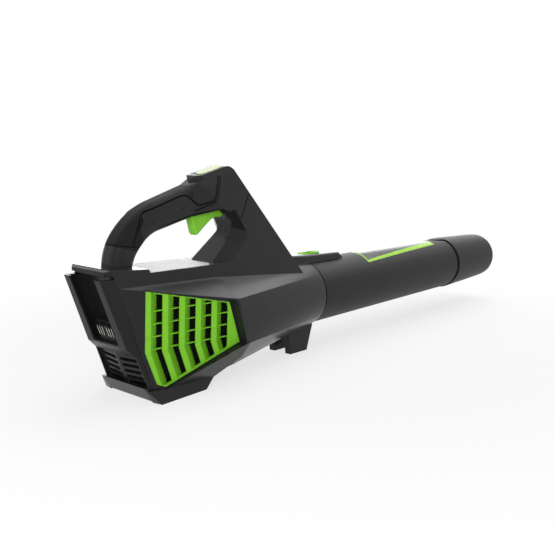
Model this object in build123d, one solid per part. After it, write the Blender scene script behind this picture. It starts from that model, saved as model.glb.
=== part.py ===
from build123d import *
import math
import os

os.makedirs("parts", exist_ok=True)

# Layout: the tube axis is x, the body meets the tube at x = 0, air leaves towards +x.
axis_height = 80.0
wall = 2.8
seam_gap = 1.2

# Rear face and battery dock
rear_x = -347.2
rear_tilt = 20.6
seam_x = -332.7
seam_tilt = 18.5
flange_top = 69.5
dock_half = 30.3
dock_wall = 3.0
dock_lip = 6.5
dock_lip_thick = 3.2
dock_floor = 17.0
dock_floor_thick = 2.5
dock_low = -10.0
cover_gap = 0.2
cover_side = 38.4
cover_side_low = 41.6
cap_edge = (-365.0, 30.0, 77.8)
cap_low = 73.6
cap_tongue = 28.0
vent_recess = 7.0
vent_low = -64.3
vent_rise = 3.5
vent_slot_long = 30.0
vent_slot_high = 4.6
vent_pitch = 8.1
vent_first = 22.5
vent_slope = 14.5
vent_rows = 5

# Corners of the faceted body, given for one side and mirrored
shoulder_rear = (-351.0, 39.6, 59.0)
ridge_peak = (-204.0, 75.0, 31.0)
side_low = (-190.0, 75.0, -27.0)
collar_point = (-12.0, 36.0, 31.5)
crease_mid = (-209.4, 37.2, 53.3)
belly_corner_y = 40.0
belly_tail = (-300.0, 40.0, -70.0)
crown_y = 12.0
upper_top = (-143.0, 16.0, 180.0)
upper_rear = (-318.0, 37.0, 71.0)
deck_rear = (-318.0, 71.5)
deck_front = (-167.0, 67.5)
belly_rear = (-224.0, -67.0)
belly_front = (-111.0, -54.0)
block_rear = (-358.0, 79.4)
block_front = (-307.5, 75.0)
block_step_run = 1.5

# Skirt, base flange and front foot
skirt_rear = (-300.0, 47.0, -66.0)
skirt_nose = (-217.0, 44.6, -68.0)
base_low_rear = (-310.5, 40.0)
base_low_side = (-308.0, 53.7)
base_low_front = (-235.3, 49.3)
base_lip = (-323.0, 40.0, -60.5)
base_side_top = (-306.0, 47.5, -64.5)
base_top = -64.5
base_lip_thick = 2.6
base_foot_half = 40.0
base_foot_high = 2.0
leg_outer = 20.0
leg_inner = 10.0
leg_rear_top = -52.0
leg_rear_low = -48.0
leg_front_low = -13.0

# Collar, tube and nozzle
collar_radius = 47.0
collar_ridge = 41.2
collar_low = -38.0
collar_belly = -71.4
collar_crown = 79.0
socket_radius = 43.95
seam_radius = 46.0
tube_length = 370.0
tube_end_radius = 42.7
spigot_length = 28.0
slide_clear = 0.35
tube_bore = 41.4
tube_wall = 2.4
nozzle_spigot = 26.0
spigot_step = 2.3
spigot_wall = 2.2
nozzle_gap = 3.2
nozzle_length = 138.8
nozzle_step = 1.4
nozzle_taper = 4.7
nozzle_rim = 3.4
nozzle_round = 4.0
seal_x = -24.0
seal_width = 3.0
seal_depth = 1.4

# Handle: the grip is a loop behind the pillar
grip_half = 17.0
grip_round = 11.0
grip_skin = 4.5
grip_edge = 6.0
leg_back_round = 66.0
bend_top_round = 100.0
loop_rear_round = 46.0
grip_front_round = 20.0
overmold_thick = 1.6
pad_rear = (-203.0, 175.9)
pad_tail = (-209.0, 175.4)
pad_nose = (-212.5, 171.9)
pad_nose_half = 15.0
pad_nose_round = 14.0
pad_sunk = 18.0
apex = (-157.0, 187.1)
apex_round = 12.0
crest_half = 13.0
crest_flare = 5.2
crest_deep = 12.0
loop_round = 17.0
pillar_foot = (-54.0, 55.0)
head_rear = -222.0
head_rear_low = 124.9
head_rear_top = 164.0
head_front = -178.0
head_front_low = 132.8
head_front_half = 24.5
head_front_round = 4.0
head_end = -165.0
head_wall = 3.2
scoop_top = (-161.0, 23.2, 136.4)
scoop_corner = (-139.5, 28.8, 97.1)
scoop_low = (-172.6, 34.0, 68.6)
scoop_edge = (-155.5, 11.0, 105.0)
scoop_round = 9.0

# Release tongue over the tube
tongue_half = 16.0
tongue_end = 73.0
tongue_top_rear = 56.0
tongue_top_front = 53.0
release_x = 13.0
release_long = 40.0
release_wide = 16.0
release_proud = 1.3
release_travel = 2.2
release_flange = 1.6

# Trigger and top button
trigger_half = 6.5
trigger_pivot = (-168.0, 138.0)
trigger_pin_radius = 2.0
trigger_slot_clear = 0.7
turbo_x = -181.0
turbo_long = 38.0
turbo_wide = 18.0
turbo_proud = 0.9
turbo_travel = 1.6
button_clear = 0.35

# Intake grille
pocket = [(-322.0, 53.5), (-322.0, -18.0), (-306.5, -60.0), (-296.0, -66.5), (-189.8, -26.5), (-206.7, 29.3)]
grille = [(-321.6, 53.0), (-321.6, -18.0), (-306.5, -58.5), (-294.0, -64.0), (-192.0, -26.0), (-209.0, 26.5)]
grille_rear = (-321.0, 43.2)
grille_front = (-205.0, 62.5)
grille_tilt = 3.5
grille_rim = 4.0
blade_count = 5
blade_first = -321.2
blade_pitch = 22.0
blade_lip = 7.0
blade_thick = 1.8
blade_run = 11.5
blade_depth = 8.0
blade_bend_z = -20.0
blade_lean = 0.35
bar_count = 4
bar_top = 28.0
bar_pitch = 15.0
bar_high = 1.1
bar_deep = 3.0
pocket_wall = 2.2
pocket_floor_y = 38.0

# Fan and motor, on the tube axis
duct_radius = 43.6
duct_wall = 2.0
duct_rear = -150.0
duct_front = -31.5
bell_rear = -168.0
bell_radius = 48.0
rib_rear = -138.0
rib_front = -64.0
rib_thick = 3.0
hub_radius = 24.0
hub_wall = 2.6
hub_rear = -108.0
hub_front = -46.0
vane_count = 7
vane_thick = 1.8
vane_pitch = 14.0
cable_vane = 7.0
fan_rear = -144.0
fan_front = -114.0
fan_tip_clear = 0.6
fan_blades = 9
fan_blade_pitch = 42.0
fan_blade_chord = 27.0
fan_blade_thick = 2.0
shaft_radius = 2.5
shaft_rear = -153.0
shaft_front = -50.0
bearing_radius = 6.5
bearing_width = 4.0
bearing_run = 0.03
can_wall = 1.6
cone_front = 8.0
cone_tip = 6.0

# Housing screws: x and z of each, all driven from the left
screw_points = [(-262.0, 133.0), (-314.0, 102.0), (-150.0, 156.0), (-102.0, 92.0), (-195.0, 57.0),
                (-205.0, -54.0), (-262.0, -70.5), (-336.0, 64.0)]
screw_radius = 2.0
screw_head_radius = 3.6
screw_head_high = 2.6
screw_seat = 8.0
screw_reach = 14.0
boss_radius = 5.0
well_wall = 1.9
screw_fit = 0.05

# Controller
board_x0 = -300.0
board_x1 = -232.0
board_half = 30.0
board_z = -52.0
board_thick = 1.6
lead_radius = 1.6


def mirrored(p, s):
    return (p[0], s * p[1], p[2])


def facet(a, b, c, inside):
    n = (Vector(*b) - Vector(*a)).cross(Vector(*c) - Vector(*a)).normalized()
    if n.dot(Vector(*inside) - Vector(*a)) > 0:
        n = n * -1
    return Plane(origin=a, z_dir=n)


def cross_facet(p, q, inside):
    return facet((p[0], 0, p[1]), (q[0], 0, q[1]), (p[0], 10, p[1]), inside)


def trim(solid, planes, inset=0.0):
    for p in planes:
        solid = split(solid, bisect_by=p.offset(-inset), keep=Keep.BOTTOM)
    return solid


def block(x0, x1, y0, y1, z0, z1):
    return Pos((x0 + x1) / 2, (y0 + y1) / 2, (z0 + z1) / 2) * Box(x1 - x0, y1 - y0, z1 - z0)


def profile(pts):
    return make_face(Plane.XZ * Polyline(*pts, close=True))


def prism(pts, y):
    return extrude(profile(pts), y, both=True)


def rod(x0, x1, r):
    return Pos((x0 + x1) / 2, 0, 0) * Rot(0, 90, 0) * Cylinder(r, x1 - x0)


def cross_rod(x, z, y0, y1, r):
    return Pos(x, (y0 + y1) / 2, z) * Rot(90, 0, 0) * Cylinder(r, y1 - y0)


def turned(pts):
    return revolve(make_face(Plane.XZ * Polyline(*pts, close=True)), Axis.X)


def wire_run(pts, bend, r):
    path = FilletPolyline(*pts, radius=bend)
    return sweep(Plane(origin=path @ 0, z_dir=path % 0) * Circle(r), path=path)


def coil(x, z0, z1, r, wire, turns):
    rise = z1 - z0 - wire - 0.1
    path = Helix(pitch=rise / turns, height=rise, radius=r)
    ring = sweep(Plane(origin=path @ 0, z_dir=path % 0) * Circle(wire / 2), path=path)
    return Pos(x, 0, z0 + wire / 2 + 0.05) * ring


core = (-200.0, 0.0, 0.0)
low_core = (-270.0, 0.0, -75.0)
rear_slope = math.tan(math.radians(rear_tilt))
seam_slope = math.tan(math.radians(seam_tilt))
rear_plane = cross_facet((rear_x, 0.0), (rear_x - 50 * rear_slope, 50.0), core)
seam_plane = cross_facet((seam_x, 0.0), (seam_x - 50 * seam_slope, 50.0), core)
dock = Plane(origin=(rear_x, 0, 0), x_dir=(0, -1, 0), z_dir=rear_plane.z_dir)
front_plane = Plane(origin=(-seam_gap, 0, 0), z_dir=(1, 0, 0))
deck_plane = cross_facet(deck_rear, deck_front, core)
belly_plane = cross_facet(belly_rear, belly_front, core)
waist_plane = cross_facet((ridge_peak[0], ridge_peak[2]), (side_low[0], side_low[2]), (-300.0, 0.0, 0.0))
waist_slope = (side_low[0] - ridge_peak[0]) / (ridge_peak[2] - side_low[2])
belly_slope = (belly_front[1] - belly_rear[1]) / (belly_front[0] - belly_rear[0])
belly_z = belly_rear[1] + belly_slope * (ridge_peak[0] + waist_slope * ridge_peak[2] - belly_rear[0])
belly_z = belly_z / (1 + belly_slope * waist_slope)
belly_corner = (ridge_peak[0] + waist_slope * (ridge_peak[2] - belly_z), belly_corner_y, belly_z)
crown_t = (ridge_peak[1] - crown_y) / (ridge_peak[1] - crease_mid[1])
crown_z = ridge_peak[2] + crown_t * (crease_mid[2] - ridge_peak[2])
crown = (ridge_peak[0] + waist_slope * (ridge_peak[2] - crown_z), crown_y, crown_z)
body_planes = [deck_plane, belly_plane]
side_planes = []
upper_planes = []
skirt_planes = []
corner_planes = []
base_planes = []
for s in (1, -1):
    body_planes.append(facet(mirrored(shoulder_rear, s), mirrored(ridge_peak, s), mirrored(crease_mid, s), core))
    side_planes.append(facet(mirrored(shoulder_rear, s), mirrored(ridge_peak, s), mirrored(side_low, s), core))
    body_planes.append(facet(mirrored(side_low, s), mirrored(belly_corner, s), mirrored(belly_tail, s), core))
    upper_planes.append(facet(mirrored(upper_top, s), mirrored(upper_rear, s), mirrored(collar_point, s), core))
    skirt_planes.append(facet(mirrored(side_low, s), mirrored(skirt_rear, s), mirrored(skirt_nose, s), core))
    low_rear = (base_low_rear[0], s * base_low_rear[1], -axis_height)
    low_side = (base_low_side[0], s * base_low_side[1], -axis_height)
    low_front = (base_low_front[0], s * base_low_front[1], -axis_height)
    corner_planes.append(facet(mirrored(base_lip, s), low_rear, low_side, low_core))
    corner_planes.append(facet(mirrored(base_lip, s), low_side, mirrored(base_side_top, s), low_core))
    base_planes.append(facet(low_side, low_front, mirrored(base_side_top, s), low_core))
body_planes = body_planes + side_planes
skirt_planes.append(cross_facet((side_low[0], side_low[2]), (skirt_rear[0], skirt_rear[2]), low_core))
nose_plane = cross_facet((base_low_front[0], -axis_height), (skirt_nose[0], skirt_nose[2]), low_core)
base_back = cross_facet((base_low_rear[0], -axis_height), (base_lip[0], base_lip[2]), low_core)
skirt_planes = skirt_planes + [nose_plane, base_back]
corner_planes.append(base_back)
base_planes = base_planes + corner_planes + [nose_plane]

# Faceted body, raised rear deck, pillar and loop grip, each solid first
far_x = -420.0


def collar_ring(x, r):
    stops = [collar_ridge, collar_low, collar_belly, -180 - collar_belly, -180 - collar_low, 180 - collar_ridge,
             180 - collar_crown, collar_crown]
    edges = []
    for i in range(8):
        a0 = stops[i]
        a1 = stops[(i + 1) % 8]
        while a1 > a0:
            a1 = a1 - 360
        spots = []
        for a in (a0, (a0 + a1) / 2, a1):
            spots.append((x, r * math.cos(math.radians(a)), r * math.sin(math.radians(a))))
        edges.append(ThreePointArc(*spots))
    return Face(Wire(edges))


waist_points = []
for q, s in ((ridge_peak, 1), (side_low, 1), (belly_corner, 1), (belly_corner, -1), (side_low, -1), (ridge_peak, -1),
             (crown, -1), (crown, 1)):
    waist_points.append(mirrored(q, s))
waist_face = make_face(Polyline(*waist_points, close=True))
body_front = loft([waist_face, collar_ring(-seam_gap, collar_radius)], ruled=True)
front_inside = loft([offset(waist_face, -wall), collar_ring(-31.0, socket_radius + 1.0)], ruled=True)
body_rear = trim(block(far_x, -100, -95, 95, -axis_height, 95), body_planes + [waist_plane])
body = body_rear + body_front
body_inside = trim(block(far_x, -100, -95, 95, -axis_height, 95), body_planes, wall)
body_inside = trim(body_inside, [waist_plane], -0.5) + front_inside


def deck_points(inset):
    step_low = block_front[0] + block_step_run
    fall = (block_front[1] - block_rear[1]) / (block_front[0] - block_rear[0])
    top = block_rear[1] + fall * (far_x - block_rear[0]) - inset
    slope = (deck_front[1] - deck_rear[1]) / (deck_front[0] - deck_rear[0])
    low = deck_rear[1] + slope * (step_low - deck_rear[0]) - inset
    end = low + slope * 155.0
    return [(far_x, 30), (far_x, top), (block_front[0] - inset, block_front[1] - inset), (step_low - inset, low),
            (step_low + 155.0, end), (step_low + 155.0, 30)]


deck = trim(prism(deck_points(0.0), 60), upper_planes + side_planes)
deck_inside = trim(prism(deck_points(wall), 60), upper_planes + side_planes, wall)

pillar_slope = (apex[1] - pillar_foot[1]) / (pillar_foot[0] - apex[0])
pillar_end = (pillar_foot[0] + (pillar_foot[1] - 30) / pillar_slope, 30)
pad_slope = (apex[1] - pad_rear[1]) / (apex[0] - pad_rear[0])
loop_low = (-197.0, 67.0)
loop_mid = (-156.5, 100.0)
loop_high = (-156.0, 117.0)
loop_top = (-172.0, 131.5)
loop_under = (-186.0, 134.0)
grip_under = (-218.0, 125.5)
pillar_back = -172.0
pillar_points = [(pillar_back, pad_rear[1] + pad_slope * (pillar_back - pad_rear[0])), apex, pillar_end,
                 (loop_low[0], 30), loop_low, loop_mid, loop_high, loop_top]


def corners_near(face, spots):
    return [v for v in face.vertices() if min(math.hypot(v.X - q[0], v.Z - q[1]) for q in spots) < 0.2]


pillar_face = profile(pillar_points)
pillar_face = fillet(corners_near(pillar_face, [apex]), apex_round)
pillar_face = fillet(corners_near(pillar_face, [loop_mid, loop_high]), loop_round)


def scoops(inset):
    tools = []
    for s in (1, -1):
        up = facet(mirrored(scoop_corner, s), mirrored(scoop_top, s), mirrored(scoop_edge, s), (-200, s * 60, 110))
        dn = facet(mirrored(scoop_corner, s), mirrored(scoop_low, s), mirrored(scoop_edge, s), (-200, s * 60, 90))
        side_block = block(-200, -120, 5, 60, 68.4 - inset, 131 + inset)
        if s < 0:
            side_block = block(-200, -120, -60, -5, 68.4 - inset, 131 + inset)
        tool = trim(side_block, [up, dn], -inset)
        valley = (Vector(mirrored(scoop_corner, s)) - Vector(mirrored(scoop_edge, s))).normalized()
        ridge = [e for e in tool.edges() if (e @ 1 - e @ 0).normalized().cross(valley).length < 0.001]
        tools.append(fillet(ridge, scoop_round))
    return tools[0] + tools[1]


def pad_z(x):
    return pad_rear[1] + pad_slope * (x - pad_rear[0])


crest_planes = []
for s in (1, -1):
    crest_planes.append(facet((pad_rear[0], s * crest_half, pad_rear[1]), (apex[0], s * crest_half, apex[1]),
                              (pad_rear[0], s * (crest_half + crest_flare), pad_rear[1] - crest_deep), core))
pillar = trim(extrude(pillar_face, 60, both=True), upper_planes + crest_planes) - scoops(0.0)


def head_section(x, low, high, half, corner):
    middle = Plane(origin=(x, 0, (low + high) / 2), x_dir=(0, 1, 0), z_dir=(1, 0, 0))
    return middle * RectangleRounded(2 * half, high - low, corner)


def head_solid(inset):
    rear = head_section(head_rear, head_rear_low + inset, head_rear_top - inset, grip_half - 0.1 - inset,
                        grip_round - 0.2 - inset)
    front = head_section(head_front, head_front_low + inset, pad_z(head_front) - inset, head_front_half - inset,
                         head_front_round - inset / 2)
    nose = [(head_front - 0.5, head_front_low + inset), (head_end, head_front_low - 4 + inset),
            (head_end, pad_z(head_end) - inset), (head_front - 0.5, pad_z(head_front - 0.5) - inset)]
    return loft([rear, front], ruled=True) + prism(nose, head_front_half - inset)


pad_low = pad_nose[1] - pad_sunk
pad_points = [pad_tail, pad_rear, (head_end, pad_z(head_end)), (head_end, pad_low), (pad_nose[0], pad_low), pad_nose]
pad_long = head_end + 20 - pad_nose[0]
pad_plan = RectangleRounded(pad_long, 2 * pad_nose_half, pad_nose_round)
pad_plan = Pos(pad_nose[0] + pad_long / 2, 0, pad_low - 1) * extrude(pad_plan, 60)
grip_head = trim(head_solid(0.0) + (prism(pad_points, 60) & pad_plan), upper_planes + crest_planes)
head_inside = trim(head_solid(head_wall), upper_planes + crest_planes, head_wall)
pillar_inside = extrude(offset(profile(pillar_points), -3.2), 60, both=True)
pillar_inside = trim(pillar_inside, upper_planes + crest_planes, wall) - scoops(wall)

leg_back = (-338.6, 101.2)
bend_top = (-301.0, 140.6)
grip_crown = (-214.0, 166.4)
leg_inside = (-310.0, 85.0)
bend_inside = (-285.0, 110.0)
grip_points = [(-341, 62), leg_back, bend_top, grip_crown, (-160, 181), (-160, 137), loop_under,
               grip_under, bend_inside, leg_inside, (-313, 62)]


grip_face = profile(grip_points)
grip_face = fillet(corners_near(grip_face, [leg_back]), leg_back_round)
grip_face = fillet(corners_near(grip_face, [bend_top]), bend_top_round)
grip_face = fillet(corners_near(grip_face, [leg_inside, bend_inside]), loop_rear_round)
grip_face = fillet(corners_near(grip_face, [grip_crown, grip_under, loop_under]), grip_front_round)


def grip_solid(inset):
    face = grip_face
    if inset > 0:
        face = offset(face, -inset)
    half = grip_half - inset
    solid = extrude(face, half, both=True)
    edges = []
    for e in solid.edges():
        c = e.center()
        if abs(abs(c.Y) - half) < 0.01 and c.X < -161.5 - inset and c.Z > 62.5 + inset:
            edges.append(e)
    return fillet(edges, grip_round - inset)


grip = grip_solid(0.0)
grip_core = grip_solid(overmold_thick)
grip_inside = extrude(offset(profile(grip_points), -grip_edge), grip_half - grip_skin, both=True)

# Skirt, base flange and the two legs of the front foot
skirt = trim(block(-330, -185, -95, 95, -axis_height, -20), skirt_planes)
skirt_inside = trim(block(-330, -185, -95, 95, -axis_height + 6, -20), skirt_planes, wall)
base = trim(block(-330, -190, -95, 95, -axis_height, base_lip[2]), base_planes)
base = base - trim(block(-330, -190, -95, 95, base_top, -50), corner_planes, base_lip_thick)
base = base - block(base_lip[0] + 4.5, -190, -95, 95, base_top, -50)
base_inside = trim(block(-330, -190, -95, 95, -axis_height + 6, base_top - 3), base_planes, wall)
base_wall = base - trim(block(-330, -190, -95, 95, -90, -50), corner_planes, base_lip_thick)
foot_gap = block(-330, -200, -base_foot_half, base_foot_half, -axis_height - 1, -axis_height + base_foot_high)
leg_points = [(leg_rear_top, -35), (leg_rear_low, -axis_height), (leg_front_low, -axis_height), (-seam_gap, -45),
              (-seam_gap, -35)]
legs = prism(leg_points, leg_outer) - block(-70, 10, -leg_inner, leg_inner, -90, -20)

# Collar round the tube end and the release tongue over the tube
tongue_points = [(-46, 40), (-46, 59), (-5, tongue_top_rear), (tongue_end - 7, tongue_top_front),
                 (tongue_end, tongue_top_front - 4.5), (tongue_end, 40)]
tongue = prism(tongue_points, tongue_half)
tongue_edges = []
for e in tongue.edges():
    c = e.center()
    if abs(abs(c.Y) - tongue_half) < 0.01 and c.Z > 50 and c.X > -30 and c.X < tongue_end - 0.1:
        tongue_edges.append(e)
tongue = fillet(tongue_edges, 4.0)
tongue = tongue - rod(-seam_gap, 100, seam_radius + 0.5)

outer = trim(body + deck, [seam_plane]) + pillar + grip_head + grip + tongue + trim(skirt, [seam_plane]) + base + legs
outer = outer - foot_gap
hollow = body_inside + deck_inside + pillar_inside + head_inside + grip_inside + skirt_inside + base_inside
hollow = hollow + rod(-200, 0, socket_radius)
shell = (outer - hollow) + (base_wall - foot_gap)

# Ribs that carry the fan duct, posts for the board, bosses for the screws
rod_clear = rod(-400, 100, socket_radius)
cable_hole = rod(-300, -110, 2.8).moved(Location((0, 0, -49.5)))
for x in (rib_rear, rib_front):
    rib = (body & block(x - rib_thick / 2, x + rib_thick / 2, -95, 95, -90, 95)) - rod_clear
    shell = shell + rib
shell = shell - cable_hole
post_points = []
for x in (board_x0 + 6, board_x1 - 6):
    for y in (board_half - 5, 5 - board_half):
        post_points.append((x, y))
solid_body = body + skirt + base - foot_gap
for x, y in post_points:
    post = Pos(x, y, (board_z - 85) / 2) * Cylinder(3.6, board_z + 85)
    shell = shell + (post & solid_body)
    shell = shell - Pos(x, y, board_z - 4) * Cylinder(1.5 + screw_fit, 8)

solid_all = outer
for x, z in screw_points:
    shell = shell + (cross_rod(x, z, -80, 0, boss_radius) & solid_all)
    shell = shell + (cross_rod(x, z, 0, 80, screw_head_radius + 0.4 + well_wall) & solid_all)
pin_x, pin_z = trigger_pivot
for s in (1, -1):
    y0, y1 = sorted((s * (trigger_half + 0.8), s * 40))
    shell = shell + (cross_rod(pin_x, pin_z, y0, y1, 4.6) & solid_all)
switch_rest = block(-211, -185, 7.05, 16, 154, 158) + block(-211, -185, -16, -7.05, 154, 158)
rest_low = pad_z(turbo_x) - 15
turbo_rest = block(-186, -176, 6.05, 18, rest_low, rest_low + 4) + block(-186, -176, -18, -6.05, rest_low, rest_low + 4)
shell = shell + (switch_rest & solid_all) + (turbo_rest & solid_all)
for x, z in screw_points:
    shell = shell - cross_rod(x, z, -screw_reach - 0.8, 0, screw_radius + screw_fit)
    shell = shell - cross_rod(x, z, -0.5, screw_seat + 1, screw_radius + 0.2)
    shell = shell - cross_rod(x, z, screw_seat, 90, screw_head_radius + 0.4)
pin_reach = 15.0
shell = shell - cross_rod(pin_x, pin_z, -pin_reach - 0.3, pin_reach + 0.3, trigger_pin_radius + screw_fit)

# Openings for the trigger, the top button, the release button and the grilles
slot = trigger_half + trigger_slot_clear
shell = shell - block(-221, -163, -slot, slot, 118, 150)

pad_angle = math.degrees(math.atan2(apex[1] - pad_rear[1], apex[0] - pad_rear[0]))
pad_rise = math.tan(math.radians(pad_angle))
turbo_z = pad_z(turbo_x)
pad = Plane(origin=(turbo_x, 0, turbo_z), x_dir=(1, 0, pad_rise), z_dir=(-pad_rise, 0, 1))


def on_pad(sketch, low, high):
    return extrude(pad.offset(low) * sketch, high - low)


turbo_window = on_pad(SlotOverall(turbo_long + 2 * button_clear, turbo_wide + 2 * button_clear), -5, 3)
turbo_room = on_pad(SlotOverall(turbo_long + 4, turbo_wide + 4), -12, -3.2)
shell = shell - turbo_window - (turbo_room & block(-230, -140, -13, 13, 160, 190))

release_top = tongue_top_rear - (release_x + 5) * (tongue_top_rear - tongue_top_front) / (tongue_end - 2)
release_wall = 2.4
release_roof = release_top - release_wall
release_floor = seam_radius + 1.7
release_room = Pos(release_x, 0, release_floor) * extrude(SlotOverall(release_long + 6, release_wide + 5.5),
                                                          release_roof - release_floor)
release_window = Pos(release_x, 0, release_floor) * extrude(
    SlotOverall(release_long + 2 * button_clear, release_wide + 2 * button_clear), 20)
catch_x = 27.0
catch_half = 3.0
catch_wide = 5.0
catch_slot = block(catch_x - catch_half - 0.6, catch_x + catch_half + 0.6, -catch_wide - 0.6, catch_wide + 0.6, 44, 50)
shell = shell - release_room - release_window - catch_slot
seal_groove = rod(seal_x, seal_x + seal_width, socket_radius + seal_depth)
shell = shell - seal_groove


def pocket_band(grow, y0, y1):
    face = profile(pocket)
    if grow > 0:
        face = offset(face, grow)
    tool = extrude(face, 120, both=True)
    return tool & (block(-400, -100, y0, y1, -90, 90) + block(-400, -100, -y1, -y0, -90, 90))


pocket_ring = (pocket_band(pocket_wall, pocket_floor_y, 95) & outer) - pocket_band(0.0, 20, 100)
shell = (shell - pocket_band(0.0, 30, 100)) + pocket_ring

grille_rise = math.tan(math.radians(grille_tilt))
grille_angle = math.degrees(math.atan2(grille_front[1] - grille_rear[1], grille_front[0] - grille_rear[0]))
ledge = extrude(offset(profile(pocket), pocket_wall / 2), 120, both=True) - extrude(profile(grille), 130, both=True)
for s in (1, -1):
    behind = facet((grille_rear[0], s * grille_rear[1], 0), (grille_front[0], s * grille_front[1], 0),
                   (grille_rear[0], s * (grille_rear[1] + 10 * grille_rise), 10), core)
    y0, y1 = sorted((s * pocket_floor_y, s * 95))
    shell = shell + trim(ledge & block(-400, -100, y0, y1, -90, 90), [behind])

# The soft skin lies in the outer layer of the grip
soft_points = [(-352, 106), (-300, 90), (-297, 104), (-303, 119), (-299, 134), (-236, 153), (-214, 142),
               (-182, 145), (-177, 150), (-177, 200), (-352, 200)]
soft = ((grip - grip_core) & prism(soft_points, 40)) - pillar - grip_head
for x, z in screw_points:
    soft = soft - cross_rod(x, z, 0, 90, screw_head_radius + 0.4)
shell = shell - soft
housing_right = split(shell, bisect_by=Plane.XZ, keep=Keep.TOP)
housing_left = split(shell, bisect_by=Plane.XZ, keep=Keep.BOTTOM)
soft_right = split(soft, bisect_by=Plane.XZ, keep=Keep.TOP)
soft_left = split(soft, bisect_by=Plane.XZ, keep=Keep.BOTTOM)


# Rear cover with the battery dock and the slotted vent below it
def dock_box(x0, x1, v0, v1, w0, w1):
    return dock * (Pos((x0 + x1) / 2, (v0 + v1) / 2, (w0 + w1) / 2) * Box(x1 - x0, v1 - v0, w1 - w0))


def dock_strip(pts):
    return dock * extrude(Plane.YZ * make_face(Polyline(*pts, close=True)), 60, both=True)


dock_side = dock_half + dock_wall


def rear_at(z):
    return rear_x - rear_slope * z


cover_planes = [rear_plane]
for q in (1, -1):
    cover_planes.append(facet((rear_at(flange_top), q * dock_side, flange_top),
                              (seam_x - seam_slope * flange_top, q * cover_side, flange_top),
                              (seam_x - seam_slope * vent_low, q * cover_side_low, vent_low), core))
slab = split(trim(body_rear + deck, cover_planes), bisect_by=seam_plane.offset(cover_gap), keep=Keep.TOP)
slab = slab & block(far_x, -200, -95, 95, vent_low, flange_top)
vent_top = dock_low - dock_floor_thick
cover = slab - dock_box(-dock_half, dock_half, dock_low, 140, -dock_floor, 5)
vent_knee = vent_top - vent_slope
cover = cover - dock_strip([(vent_top, 0), (vent_knee, -vent_recess), (-100, -vent_recess), (-100, 9), (vent_top, 9)])
vent_room = trim(body_rear, [rear_plane]) & dock_box(-60, 60, -90, vent_top, -40, 5)
cover = cover - (trim(vent_room, body_planes, wall) & block(far_x, -200, -95, 95, vent_low + wall, 40))
cover = cover + dock_box(-dock_half - 1, dock_half + 1, vent_top, 72.5, -dock_floor - dock_floor_thick, -dock_floor)
for q in (1, -1):
    x0, x1 = sorted((q * dock_half, q * (dock_half + 2)))
    cover = cover + dock_box(x0, x1, vent_top, 66, -dock_floor - dock_floor_thick, -dock_lip_thick)
    x0, x1 = sorted((q * (dock_half - dock_lip), q * (dock_half + 1)))
    cover = cover + (dock_box(x0, x1, dock_low - 1, 90, -dock_lip_thick, 0) & block(far_x, 0, -90, 90, -90, flange_top))
cover = cover + dock_box(-dock_half - 1, dock_half + 1, vent_top, dock_low, -dock_floor - dock_floor_thick, 0)
brow = dock_strip([(vent_top, 0), (vent_knee, -vent_recess), (vent_knee, -vent_recess - 6), (vent_knee + 2.5, -vent_recess - 6),
                   (vent_knee + 4, -vent_recess - 1), (vent_top + 1, -2.4)])
cover = cover + (brow & slab)
vent_base = dock.origin + dock.y_dir * (vent_low / math.cos(math.radians(rear_tilt)) - 6)
vent_plane = Plane(origin=vent_base, x_dir=dock.x_dir, z_dir=dock.y_dir)
vent_side = vent_recess + vent_rise * 50 / 36
vent_points = [(-50, vent_side), (0, vent_recess), (50, vent_side), (50, vent_side + 2.6), (0, vent_recess + 2.6),
               (-50, vent_side + 2.6)]
vent_high = vent_knee + 2 - (vent_low / math.cos(math.radians(rear_tilt)) - 6)
vent = extrude(vent_plane * make_face(Polyline(*vent_points, close=True)), vent_high)
vent = (vent & slab) + (vent & trim(body_rear, body_planes, wall + 0.2))
vent = vent & block(far_x, -200, -95, 95, vent_low, 40)
for row in range(vent_rows):
    v = vent_top - vent_first - row * vent_pitch
    for s in (1, -1):
        mid = s * (vent_slot_long / 2 + 4)
        vent = vent - dock_box(mid - vent_slot_long / 2, mid + vent_slot_long / 2, v - vent_slot_high / 2,
                               v + vent_slot_high / 2, -30, 5)
cover = cover + vent
cap_points = [(cap_edge[0], cap_edge[1]), (cap_edge[0], -cap_edge[1]), (block_rear[0] - 0.5, -cover_side), (-340, -cover_side),
              (-340, cover_side), (block_rear[0] - 0.5, cover_side)]
cap = extrude(Plane.XY.offset(cap_low) * make_face(Polyline(*cap_points, close=True)), 12)
cap_top = cross_facet((cap_edge[0], cap_edge[2]), (block_rear[0] - 0.5, block_rear[1]), core)
cap = split(trim(cap & deck, [cap_top]), bisect_by=seam_plane.offset(cover_gap), keep=Keep.TOP)
cover = cover + cap + block(cap_edge[0] + 2, -351.5, -cap_tongue, cap_tongue, cap_low - 1.5, cap_low + 1.6)
lead_x = 12.0
lead_v = 2.0
for s in (1, -1):
    cover = cover - dock * (Pos(s * lead_x, lead_v, -dock_floor) * Cylinder(lead_radius + 0.3, 12))

blade_offsets = [4.1, 8.5, 12.9]
blade_tip = -4.4
comb_top = -6.0
terminal_block = dock_box(-24, 24, dock_low + 0.05, 10, -dock_floor + 0.05, -dock_floor + 4)
terminal_block = terminal_block + dock_box(-16, 16, dock_low + 0.05, 9, -dock_floor + 3, comb_top)
blades = []
for s in (1, -1):
    for b in blade_offsets:
        terminal_block = terminal_block - dock_box(s * b - 1.3, s * b + 1.3, -3.6, 12, -dock_floor + 4, comb_top + 1)
        blades.append(dock_box(s * b - 0.4, s * b + 0.4, -3, 8, -dock_floor + 1.5, blade_tip))
for b in blades:
    terminal_block = terminal_block - b
terminal_blades = blades

# Intake grille, laid out flat along its own face and then turned into place
turn = math.cos(math.radians(grille_angle))


def along(x):
    return (x - grille_rear[0]) / turn


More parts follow.
